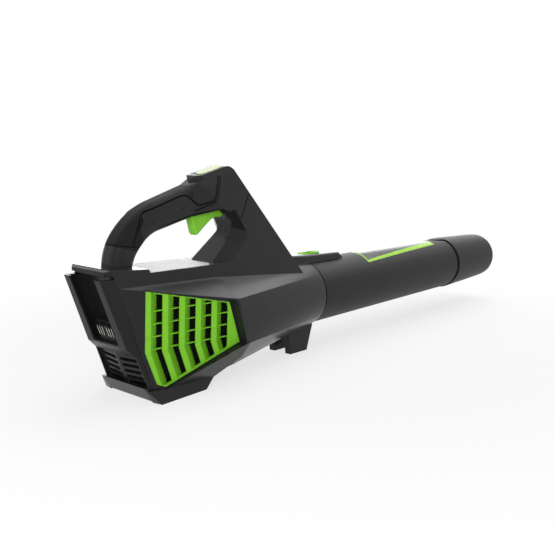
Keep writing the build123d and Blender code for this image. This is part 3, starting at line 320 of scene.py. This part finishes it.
# steel screw, black zinc plated: dark grey with a dull metal glint
blackZinc = metalMaterial("blackZincScrew", {
    "dark": "#2c2c2e", "light": "#3c3c3f", "rough": (0.32, 0.45), "lineMm": 0.8,
    "stretch": (1, 1, 1), "bump": 0.05})
# aluminium alloy, die cast: pale grey and a little uneven
castAlloy = metalMaterial("dieCastAlloy", {
    "dark": "#8f9092", "light": "#b3b4b6", "rough": (0.36, 0.52), "lineMm": 1.2,
    "stretch": (1, 1, 1), "bump": 0.12})
# silicon steel sheets, stacked: dark grey with lines along the stack
stackedSteel = metalMaterial("stackedSiliconSteel", {
    "dark": "#4b4b4e", "light": "#77777a", "rough": (0.36, 0.50), "lineMm": 0.8,
    "stretch": (1, 0.05, 0.05), "bump": 0.2})
# copper wire under clear enamel: warm brown with a gloss on each turn
copperWire = metalMaterial("enamelledCopper", {
    "dark": "#8c4a22", "light": "#b9672f", "rough": (0.22, 0.34), "lineMm": 0.9,
    "stretch": (0.1, 1, 1), "bump": 0.2})
# painted shade: black, dull nylon without gloss, laid flush where a groove, gap or recess lies in shadow, so
# that it reads as a gap
grooveShade = plasticMaterial("shadedGrooveNylon", {
    "dark": "#050505", "light": "#080808", "rough": (0.75, 0.85), "ior": 1.3, "grainMm": 1.0, "cloudMm": 8,
    "bump": 0.05, "depthMm": 0.05, "edgeMm": 0.2, "extra": {"Specular IOR Level": 0.0}})
# polyester film, satin silver: pale, with a near-white colour that is partly painted reflection of the glare
# on the deck, and a faint mottle from the adhesive under it
silverFilmAndGlare = plasticMaterial("satinSilverFilmAndGlare", {
    "dark": "#dadcdc", "light": "#e2e4e4", "rough": (0.40, 0.50), "ior": 1.57, "grainMm": 2.4, "cloudMm": 18,
    "bump": 0.03, "depthMm": 0.05, "edgeMm": 0.2, "extra": {"Specular IOR Level": 0.3}})
# printed vinyl film under a gloss coat: flat colour with a sharp grazing sheen
darkFilm = plasticMaterial("glossBlackFilm", {
    "dark": "#141415", "light": "#1a1a1b", "rough": (0.16, 0.24), "ior": 1.53, "grainMm": 3.0, "cloudMm": 25,
    "bump": 0.02, "depthMm": 0.04, "edgeMm": 0.2})
# the same film in lime, a little duller
limeFilm = plasticMaterial("glossLimeFilm", {
    "dark": "#93cc24", "light": "#9fd630", "rough": (0.22, 0.30), "ior": 1.53, "grainMm": 3.0, "cloudMm": 25,
    "bump": 0.02, "depthMm": 0.04, "edgeMm": 0.2, "extra": {"Specular IOR Level": 0.2}})
# open-cell polyurethane foam, charcoal: dull, with coarse pores, a painted shade for the dark inside behind
# the slots; the 1 mm pores are drawn at 2 mm to show
shadeFoam = plasticMaterial("openCellShadeFoam", {
    "dark": "#060606", "light": "#101010", "rough": (0.85, 0.95), "ior": 1.3, "grainMm": 2.0, "cloudMm": 2.5,
    "bump": 0.6, "depthMm": 0.8, "edgeMm": 0.2})

finishes = {
    "housing_right": sparkNylon, "housing_left": sparkNylon, "grip_skin_right": softRubber,
    "grip_skin_left": softRubber, "rear_cover": coverNylon, "terminal_block": ductPlastic,
    "terminal_blades": nickelStrip, "intake_grille_right": limeAbs, "intake_grille_left": limeAbs,
    "blower_tube": smoothTube, "nozzle": smoothTube, "tube_seal": nitrile, "release_button": limeGrained,
    "release_spring": groundSteel, "trigger": limeAbs, "trigger_pin": groundSteel,
    "trigger_spring": groundSteel, "trigger_switch": ductPlastic, "turbo_button": paleAcrylic,
    "turbo_spring": groundSteel, "turbo_switch": ductPlastic, "fan_duct": ductPlastic,
    "fan_rotor": ductPlastic, "fan_nut": groundSteel,
    "motor_can": castAlloy, "motor_cap": castAlloy, "motor_shaft": groundSteel, "motor_bearings": groundSteel,
    "motor_stator": stackedSteel, "motor_windings": copperWire, "motor_magnet": groundSteel,
    "motor_screws": blackZinc, "tail_cone": ductPlastic, "controller_board": boardLacquer,
    "board_screws": blackZinc, "heat_sink": castAlloy, "capacitors": sleeveBlue, "battery_leads": redJacket,
    "motor_lead": nitrile, "control_lead": nitrile, "housing_screws": blackZinc,
}
for name, node in nodes.items():
    node.data.materials.clear()
    node.data.materials.append(finishes[name])
print("materials on", len(finishes), "nodes")

# fine detail lies on the moulded surfaces, found by casting rays at the CAD nodes
cornerShape = {"mostShare": 0.45, "arcParts": 5}  # share of a run that a corner's arc may take, and its parts
stripShape = {"flat": 0.28, "edge": 0.4}  # half of the flat crown in widths, and the edge in heights


def surfaceOf(*names):
    points, faces = [], []
    for name in names:
        mesh = nodes[name].data
        start = len(points)
        points += [v.co.copy() for v in mesh.vertices]
        faces += [[start + i for i in p.vertices] for p in mesh.polygons]
    return BVHTree.FromPolygons(points, faces)


def land(skin, start, way):  # first point that a ray from outside meets, with the normal turned outwards
    spot, normal, _, _ = skin.ray_cast(start, way)
    if spot is None:
        return None
    return spot, (-normal if normal.dot(way) > 0 else normal)


def landSide(skin, side, x, z, fromMm):  # straight in from the right or the left
    return land(skin, at(x, side * fromMm, z), Vector((0, -side, 0)))


def landDown(skin, x, y, fromMm):
    return land(skin, at(x, y, fromMm), Vector((0, 0, -1)))


def spread(first, last, parts):
    return [first + (last - first) * k / parts for k in range(parts + 1)]


def fullTurn(points):
    return [2 * math.pi * k / points for k in range(points)]


def offAxis(turn):  # away from the tube axis, starting at the top
    return Vector((0, math.sin(turn), math.cos(turn)))


def softPath(corners, radius, step, closed=False):  # corners rounded, then points every few mm
    corners = [Vector(c) for c in corners]
    bent = []
    for i, corner in enumerate(corners):
        if not closed and i in (0, len(corners) - 1):
            bent.append(corner)
            continue
        before, after = corners[i - 1] - corner, corners[(i + 1) % len(corners)] - corner
        reach = min(radius, before.length * cornerShape["mostShare"], after.length * cornerShape["mostShare"])
        first, last = corner + before.normalized() * reach, corner + after.normalized() * reach
        for t in spread(0, 1, cornerShape["arcParts"]):
            bent.append(first * (1 - t) ** 2 + corner * (2 * t * (1 - t)) + last * t ** 2)
    if closed:
        bent.append(bent[0])
    path = [bent[0]]
    for a, b in zip(bent, bent[1:]):
        parts = max(1, math.ceil((b - a).length / step))
        path += [a + (b - a) * (k + 1) / parts for k in range(parts)]
    return path[:-1] if closed else path


def addPiece(name, verts, faces, finish, body, smooth=False):
    mesh = bpy.data.meshes.new(name)
    mesh.from_pydata(verts, [], faces)
    form = bmesh.new()
    form.from_mesh(mesh)
    bmesh.ops.recalc_face_normals(form, faces=form.faces)
    form.to_mesh(mesh)
    form.free()
    mesh.materials.append(finish)
    for face in mesh.polygons:
        face.use_smooth = smooth
    piece = bpy.data.objects.new(name, mesh)
    bpy.context.scene.collection.objects.link(piece)
    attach(piece, body)
    return piece


def stripOn(verts, faces, spots, look, closed):  # adds a crowned strip along landed points
    wide, proud, sunk = (look[key] * mm for key in ("wideMm", "proudMm", "sunkMm"))
    flat, edge = stripShape["flat"], stripShape["edge"] * proud
    section = [(-0.5, -sunk), (-0.5, edge), (-flat, proud), (flat, proud), (0.5, edge), (0.5, -sunk)]
    start, count, ring = len(verts), len(spots), len(section)
    for i, (spot, normal) in enumerate(spots):
        before = spots[i - 1][0] if i or closed else spot
        after = spots[(i + 1) % count][0] if closed or i + 1 < count else spot
        side = normal.cross(after - before).normalized()
        verts += [spot + side * (u * wide) + normal * h for u, h in section]
    for i in range(count if closed else count - 1):
        a, b = start + i * ring, start + (i + 1) % count * ring
        faces += [(a + k, a + (k + 1) % ring, b + (k + 1) % ring, b + k) for k in range(ring)]
    if not closed:
        faces.append(tuple(range(start, start + ring)))
        faces.append(tuple(range(start + (count - 1) * ring, start + count * ring)))


def addStrips(name, runs, look, finish, body, closed=False, smooth=False):  # skips rays that missed
    verts, faces = [], []
    for spots in runs:
        stripOn(verts, faces, [s for s in spots if s], look, closed)
    addPiece(name, verts, faces, finish, body, smooth)


def sheetOn(outline, rings, aim, look):  # a thin sheet inside an outline, aim lands each of its points
    middle = sum((Vector(p) for p in outline), Vector((0, 0))) / len(outline)
    layers = []
    for k in range(1, rings + 1):
        layers.append([aim(*(middle + (Vector(p) - middle) * (k / rings))) for p in outline])
    crown = aim(*middle)
    proud, sunk, count = look["proudMm"] * mm, look["sunkMm"] * mm, len(outline)
    verts = [crown[0] + crown[1] * proud]
    for layer in layers:
        verts += [spot + normal * proud for spot, normal in layer]
    verts += [spot - normal * sunk for spot, normal in layers[-1]]
    verts.append(crown[0] - crown[1] * sunk)
    faces = [(0, 1 + k, 1 + (k + 1) % count) for k in range(count)]
    for r in range(rings):
        a, b = 1 + r * count, 1 + (r + 1) * count
        faces += [(a + k, b + k, b + (k + 1) % count, a + (k + 1) % count) for k in range(count)]
    last = 1 + rings * count
    faces += [(len(verts) - 1, last + (k + 1) % count, last + k) for k in range(count)]
    return verts, faces


housing = surfaceOf("housing_right", "housing_left", "grip_skin_right", "grip_skin_left")
sides = (("right", -1), ("left", 1))

# parting lines and grooves of the grip and the pillar as flush black strips of painted shade, drawn on both
# sides as x and z in mm
grooves = {
    "wideMm": 1.3, "proudMm": 0.05, "sunkMm": 0.3, "stepMm": 2.0, "roundMm": 2.5, "castFromMm": 70,
    "lines": {
        "panelLine": [(-180, 174), (-189.5, 148.5), (-193, 144), (-214.5, 139.5), (-233.8, 153),
                      (-243, 152.2), (-295.5, 136.8), (-300.8, 133), (-299.2, 126.4), (-311, 109.5),
                      (-313, 100.5)],
        "ribLine": [(-177, 174), (-186.5, 147.5), (-191.5, 142.3), (-221, 133.4)],
        "legLine": [(-301.5, 131.5), (-305.5, 122.5), (-311.5, 111)],
        "pillarLine": [(-131, 149.5), (-148.5, 121.9), (-151.2, 118)],
    },
}
panelRidge = {"wideMm": 1.2, "proudMm": 0.45, "sunkMm": 0.3, "asideMm": 1.25}  # runs beside panelLine
paths = {key: softPath(line, grooves["roundMm"], grooves["stepMm"]) for key, line in grooves["lines"].items()}
for sideName, side in sides:
    runs = []
    for path in paths.values():
        runs.append([landSide(housing, side, x, z, grooves["castFromMm"]) for x, z in path])
    addStrips("moulded_grooves_" + sideName, runs, grooves, grooveShade, "frame")
    path = paths["panelLine"]
    spots = []
    for k, (x, z) in enumerate(path):
        run = (path[min(k + 1, len(path) - 1)] - path[max(k - 1, 0)]).normalized() * panelRidge["asideMm"]
        spots.append(landSide(housing, side, x + run.y, z - run.x, grooves["castFromMm"]))
    addStrips("panel_ridge_" + sideName, [spots], panelRidge, softRubber, "frame", smooth=True)

# raised obround bead on the hard panel of the grip
bead = {"wideMm": 1.5, "proudMm": 0.8, "sunkMm": 0.3, "stepMm": 1.2, "halfMm": 2.6, "castFromMm": 70,
        "ends": ((-280.5, 125.5), (-241.3, 136.7))}
first, last = (Vector(p) for p in bead["ends"])
run = (last - first).normalized()
across = Vector((-run.y, run.x)) * bead["halfMm"]
ends = run * bead["halfMm"]
loop = softPath([first + across - ends, last + across + ends, last - across + ends, first - across - ends],
                bead["halfMm"] * 2, bead["stepMm"], closed=True)
for sideName, side in sides:
    spots = [landSide(housing, side, x, z, bead["castFromMm"]) for x, z in loop]
    addStrips("grip_bead_" + sideName, [spots], bead, sparkNylon, "frame",
              closed=True, smooth=True)

# groove round the leg of the grip where the soft skin ends, a flush black strip of painted shade
legRing = {"wideMm": 0.9, "proudMm": 0.05, "sunkMm": 0.3, "middle": (-323.5, 0, 100.6), "fall": -0.17,
           "points": 64, "castFromMm": 45}
along = Vector((1, 0, legRing["fall"])).normalized()
spots = []
for turn in fullTurn(legRing["points"]):
    out = along * math.cos(turn) + Vector((0, math.sin(turn), 0))
    spots.append(land(housing, at(*legRing["middle"]) + out * (legRing["castFromMm"] * mm), -out))
addStrips("leg_groove", [spots], legRing, grooveShade, "frame", closed=True)

# the line where the two halves of the housing meet, as a flush black strip of painted shade: pillar front and
# neck, tongue, belly, and under the grip
middleSeam = {
    "wideMm": 0.5, "proudMm": 0.04, "sunkMm": 0.3, "stepMm": 2.0, "asideMm": 0.04,
    "runs": [(-153, -9, 260, -1), (35.5, 65, 90, -1), (-214, -60, -79, 1), (-296, -224, 96, 1)],
}
runs = []
for x0, x1, fromZ, way in middleSeam["runs"]:  # x from, x to, height that the rays start at, up or down
    xs = spread(x0, x1, math.ceil((x1 - x0) / middleSeam["stepMm"]))
    runs.append([land(housing, at(x, middleSeam["asideMm"], fromZ), Vector((0, 0, way))) for x in xs])
addStrips("housing_seam", runs, middleSeam, grooveShade, "frame")

# shadow line between the rear cover and the housing
coverLine = {"wideMm": 0.9, "proudMm": 0.05, "sunkMm": 0.3, "stepMm": 2.5, "seamX": -332.75, "tiltDeg": 18.5,
             "fromZ": 76.5, "toZ": -62.0, "castFromMm": 80}
shellSkin = surfaceOf("housing_right", "housing_left", "rear_cover")
slope = math.tan(math.radians(coverLine["tiltDeg"]))
count = math.ceil((coverLine["fromZ"] - coverLine["toZ"]) / coverLine["stepMm"])
for sideName, side in sides:
    spots = []
    for z in spread(coverLine["fromZ"], coverLine["toZ"], count):
        spots.append(landSide(shellSkin, side, coverLine["seamX"] - slope * z, z, coverLine["castFromMm"]))
    addStrips("cover_line_" + sideName, [spots], coverLine, grooveShade, "frame")

# painted shadow: a black strip for the dark gap where the neck ends at the tube, left open under the tongue
collarLine = {"wideMm": 2.4, "proudMm": 0.05, "sunkMm": 0.3, "x": -1.8, "points": 96, "castFromMm": 95,
              "mostMm": 49}
middle = at(collarLine["x"], 0, 0)
spots = []
for turn in fullTurn(collarLine["points"]):
    out = offAxis(turn)
    spot = land(housing, middle + out * (collarLine["castFromMm"] * mm), -out)
    spots.append(spot if spot and (spot[0] - middle).length < collarLine["mostMm"] * mm else None)
first = next(k for k, spot in enumerate(spots) if spot and not spots[k - 1])  # starts past the tongue
addStrips("collar_line", [spots[first:] + spots[:first]], collarLine, grooveShade, "frame")

# cross line near the end of the tongue, a flush black strip of painted shade
tongueLine = {"wideMm": 1.2, "proudMm": 0.05, "sunkMm": 0.3, "x": 56.0, "halfMm": 9.0, "parts": 12,
              "castFromMm": 90}
ys = spread(-tongueLine["halfMm"], tongueLine["halfMm"], tongueLine["parts"])
spots = [landDown(housing, tongueLine["x"], y, tongueLine["castFromMm"]) for y in ys]
addStrips("tongue_line", [spots], tongueLine, grooveShade, "frame")
print("moulded lines laid")

# bare plate on the deck, under the grip
deckPlate = {"proudMm": 0.18, "sunkMm": 0.1, "roundMm": 4.0, "stepMm": 6.0, "rings": 5, "castFromMm": 90,
             "outline": [(-303, -33), (-212, -33), (-202.5, -21), (-202.5, 21), (-212, 33), (-303, 33)]}


def aimAtDeck(x, y):
    return landDown(housing, x, y, deckPlate["castFromMm"])


outline = softPath(deckPlate["outline"], deckPlate["roundMm"], deckPlate["stepMm"], closed=True)
verts, faces = sheetOn(outline, deckPlate["rings"], aimAtDeck, deckPlate)
addPiece("deck_plate", verts, faces, silverFilmAndGlare, "frame")

# plain film on top of the tube with a lime wedge along each long edge: x, and mm round the tube from its top
tubeFilm = {"sunkMm": 0.15, "roundMm": 1.5, "stepMm": 3.0, "rings": 7, "radiusMm": 44.0, "castFromMm": 80,
            "lime": {"proudMm": 0.12, "outline": [(120, -33), (328, -20), (328, 20), (120, 33)]},
            "dark": {"proudMm": 0.24, "outline": [(123.6, -28.2), (326, -9), (326, 9), (123.6, 28.2)]}}
tubeSkin = surfaceOf("blower_tube")


def aimAtTube(x, arc):
    out = offAxis(arc / tubeFilm["radiusMm"])
    return land(tubeSkin, at(x, 0, 0) + out * (tubeFilm["castFromMm"] * mm), -out)


for name, finish in (("lime", limeFilm), ("dark", darkFilm)):
    outline = softPath(tubeFilm[name]["outline"], tubeFilm["roundMm"], tubeFilm["stepMm"], closed=True)
    verts, faces = sheetOn(outline, tubeFilm["rings"], aimAtTube, {**tubeFilm, **tubeFilm[name]})
    addPiece("tube_film_" + name, verts, faces, finish, "tube")

# painted shadow: a black ring in the gap between tube and nozzle
jointShadowRing = {"x0": 370.25, "x1": 372.9, "inner": 40.45, "outer": 41.9, "round": 0.5, "points": 96}
x0, x1, inner, outer, edge = (jointShadowRing[k] for k in ("x0", "x1", "inner", "outer", "round"))
section = [(x0, inner), (x0, outer - edge), (x0 + edge, outer),
           (x1 - edge, outer), (x1, outer - edge), (x1, inner)]
ring = len(section)
verts, faces = [], []
for k, turn in enumerate(fullTurn(jointShadowRing["points"])):
    verts += [at(x, r * math.sin(turn), r * math.cos(turn)) for x, r in section]
    a, b = k * ring, (k + 1) % jointShadowRing["points"] * ring
    faces += [(a + i, a + (i + 1) % ring, b + (i + 1) % ring, b + i) for i in range(ring)]
addPiece("joint_shadow_ring", verts, faces, grooveShade, "tube")

# pointed tab of the nozzle that lies back over the tube, on a slightly larger black sheet of painted shadow
# that shows as its outline
nozzleTab = {"sunkMm": 0.1, "roundMm": 3.0, "stepMm": 2.0, "rings": 6, "radiusMm": 42.9, "arcRadiusMm": 44.0,
             "tabShadow": {"proudMm": 0.25,
                       "outline": [(374, -17.5), (364.5, -12.4), (354.5, -9.4), (345.5, -4.2), (342.5, 0),
                                   (345.5, 4.2), (354.5, 9.4), (364.5, 12.4), (374, 17.5)]},
             "tab": {"proudMm": 0.75,
                     "outline": [(375.5, -13.2), (366, -8.6), (356, -5.6), (349.5, -2.2), (347, 0),
                                 (349.5, 2.2), (356, 5.6), (366, 8.6), (375.5, 13.2)]}}


def aimAtNozzle(x, arc):
    out = offAxis(arc / nozzleTab["arcRadiusMm"])
    return at(x, 0, 0) + out * (nozzleTab["radiusMm"] * mm), out


for name, finish in (("tabShadow", grooveShade), ("tab", smoothTube)):
    outline = softPath(nozzleTab[name]["outline"], nozzleTab["roundMm"], nozzleTab["stepMm"], closed=True)
    verts, faces = sheetOn(outline, nozzleTab["rings"], aimAtNozzle, {**nozzleTab, **nozzleTab[name]})
    addPiece("nozzle_" + name, verts, faces, finish, "outlet")
print("plates and ring set")

# near-black open-cell foam behind the louvres: painted shade for the dark inside of the body seen between
# them
intakeFoam = {"depthMm": 9.6, "proudMm": 0.0, "sunkMm": 2.4, "insetMm": 3.0, "roundMm": 4.0, "stepMm": 5.0,
              "rings": 8, "rippleMm": 0.35, "waves": (0.9, 0.8),
              "rear": (-321.0, 43.2), "front": (-205.0, 62.5), "tiltDeg": 3.5,
              "outline": [(-321.6, 53.0), (-321.6, -18.0), (-306.5, -58.5), (-294.0, -64.0),
                          (-192.0, -26.0), (-209.0, 26.5)]}


def rippleAt(look, u, v):
    return look["rippleMm"] * math.sin(u * look["waves"][0]) * math.sin(v * look["waves"][1])


def aimAtFoam(side, x, z):  # the foam follows the slant of the flank, some way behind it
    (rearX, rearY), (frontX, frontY) = intakeFoam["rear"], intakeFoam["front"]
    lean = math.tan(math.radians(intakeFoam["tiltDeg"]))
    y = rearY + (x - rearX) * (frontY - rearY) / (frontX - rearX) + z * lean
    return at(x, side * (y - intakeFoam["depthMm"] + rippleAt(intakeFoam, x, z)), z), Vector((0, side, 0))


corners = [Vector(p) for p in intakeFoam["outline"]]
middle = sum(corners, Vector((0, 0))) / len(corners)
shrunk = [p + (middle - p).normalized() * intakeFoam["insetMm"] for p in corners]
outline = softPath(shrunk, intakeFoam["roundMm"], intakeFoam["stepMm"], closed=True)
for sideName, side in sides:
    verts, faces = sheetOn(outline, intakeFoam["rings"], lambda x, z: aimAtFoam(side, x, z), intakeFoam)
    addPiece("intake_foam_" + sideName, verts, faces, shadeFoam, "frame")

# the same foam behind the slots of the rear vent, folded along its middle, also painted shade for the dark
# inside: mm up the rear face, mm behind it
ventFoam = {"rearX": -347.2, "tiltDeg": 20.6, "low": -63.0, "high": -26.5, "halfMm": 34.0, "recessMm": 10.6,
            "rise": 3.5 / 36, "thickMm": 1.6, "columns": 24, "rows": 10, "rippleMm": 0.25,
            "waves": (0.9, 0.8)}
tilt = math.radians(ventFoam["tiltDeg"])
up, out = Vector((-math.sin(tilt), 0, math.cos(tilt))), Vector((-math.cos(tilt), 0, -math.sin(tilt)))
rows, columns = ventFoam["rows"], ventFoam["columns"]
rowLong = columns + 1
verts, faces = [], []
for layer in (0, 1):
    for v in spread(ventFoam["low"], ventFoam["high"], rows):
        for y in spread(-ventFoam["halfMm"], ventFoam["halfMm"], columns):
            deep = ventFoam["recessMm"] + ventFoam["rise"] * abs(y) + rippleAt(ventFoam, y, v)
            deep += layer * ventFoam["thickMm"]
            verts.append(at(ventFoam["rearX"], y, 0) + (up * v - out * deep) * mm)
half = len(verts) // 2
for r in range(rows):
    for c in range(columns):
        a = r * rowLong + c
        quad = (a, a + 1, a + rowLong + 1, a + rowLong)
        faces += [quad, tuple(half + i for i in reversed(quad))]
border = list(range(rowLong))
border += [r * rowLong + columns for r in range(1, rows + 1)]
border += [rows * rowLong + c for c in range(columns - 1, -1, -1)]
border += [r * rowLong for r in range(rows - 1, 0, -1)]
for a, b in zip(border, border[1:] + border[:1]):
    faces.append((a, b, half + b, half + a))
addPiece("vent_foam", verts, faces, shadeFoam, "frame")

# six-lobed drives sunk in the heads of the housing screws, in their wells on the left half, drawn as flat
# black stars of painted shade
screwDrive = {"seatMm": 8.0, "headMm": 2.6, "tipMm": 1.95, "valleyMm": 1.35, "lobes": 6, "points": 48,
              "rings": 2, "proudMm": 0.03, "sunkMm": 0.2,
              "spots": [(-262, 133), (-314, 102), (-150, 156), (-102, 92), (-195, 57), (-336, 64),
                        (-262, -70.5), (-205, -54)]}


def aimAtHead(x, z):
    return at(x, screwDrive["seatMm"] + screwDrive["headMm"], z), Vector((0, 1, 0))


mean = (screwDrive["tipMm"] + screwDrive["valleyMm"]) / 2
swing = (screwDrive["tipMm"] - screwDrive["valleyMm"]) / 2
verts, faces = [], []
for x, z in screwDrive["spots"]:
    outline = []
    for turn in fullTurn(screwDrive["points"]):
        reach = mean + swing * math.cos(screwDrive["lobes"] * turn)
        outline.append((x + reach * math.cos(turn), z + reach * math.sin(turn)))
    star, starFaces = sheetOn(outline, screwDrive["rings"], aimAtHead, screwDrive)
    faces += [tuple(len(verts) + i for i in face) for face in starFaces]
    verts += star
addPiece("screw_drives", verts, faces, grooveShade, "frame")

# fingertip ridges across the release button
releaseRidges = {"wideMm": 1.3, "proudMm": 0.5, "sunkMm": 0.3, "xs": (5.0, 9.0, 13.0, 17.0, 21.0),
                 "halfMm": 4.6, "parts": 8, "castFromMm": 90}
buttonSkin = surfaceOf("release_button")
ys = spread(-releaseRidges["halfMm"], releaseRidges["halfMm"], releaseRidges["parts"])
runs = [[landDown(buttonSkin, x, y, releaseRidges["castFromMm"]) for y in ys] for x in releaseRidges["xs"]]
addStrips("release_ridges", runs, releaseRidges, limeGrained, "release", smooth=True)

# coil springs behind the buttons and the trigger, drawn again from the CAD springs, which are hidden
springs = {
    "weldMm": 0.001,
    "coils": {  # along points away from the end that stays put
        "release_spring": {"joint": "release_press", "along": (0, 0, 1), "keep": 0.31},
        "turbo_spring": {"joint": "button_press", "along": (-0.236567, 0, 0.971615), "keep": 0.65},
        "trigger_spring": {"joint": "trigger_pull", "along": (0, 0, -1), "keep": 0.30},
    },
}
for name, look in springs["coils"].items():
    coil = bmesh.new()
    coil.from_mesh(nodes[name].data)
    bmesh.ops.remove_doubles(coil, verts=coil.verts, dist=springs["weldMm"] * mm)
    coil.verts.index_update()
    verts = [v.co.copy() for v in coil.verts]
    faces = [tuple(v.index for v in face.verts) for face in coil.faces]
    coil.free()
    along = Vector(look["along"])
    piece = addPiece(name + "_coil", verts, faces, groundSteel, "frame", smooth=True)
    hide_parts(name)
    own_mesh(piece)
print("foam, drives, ridges and springs set")
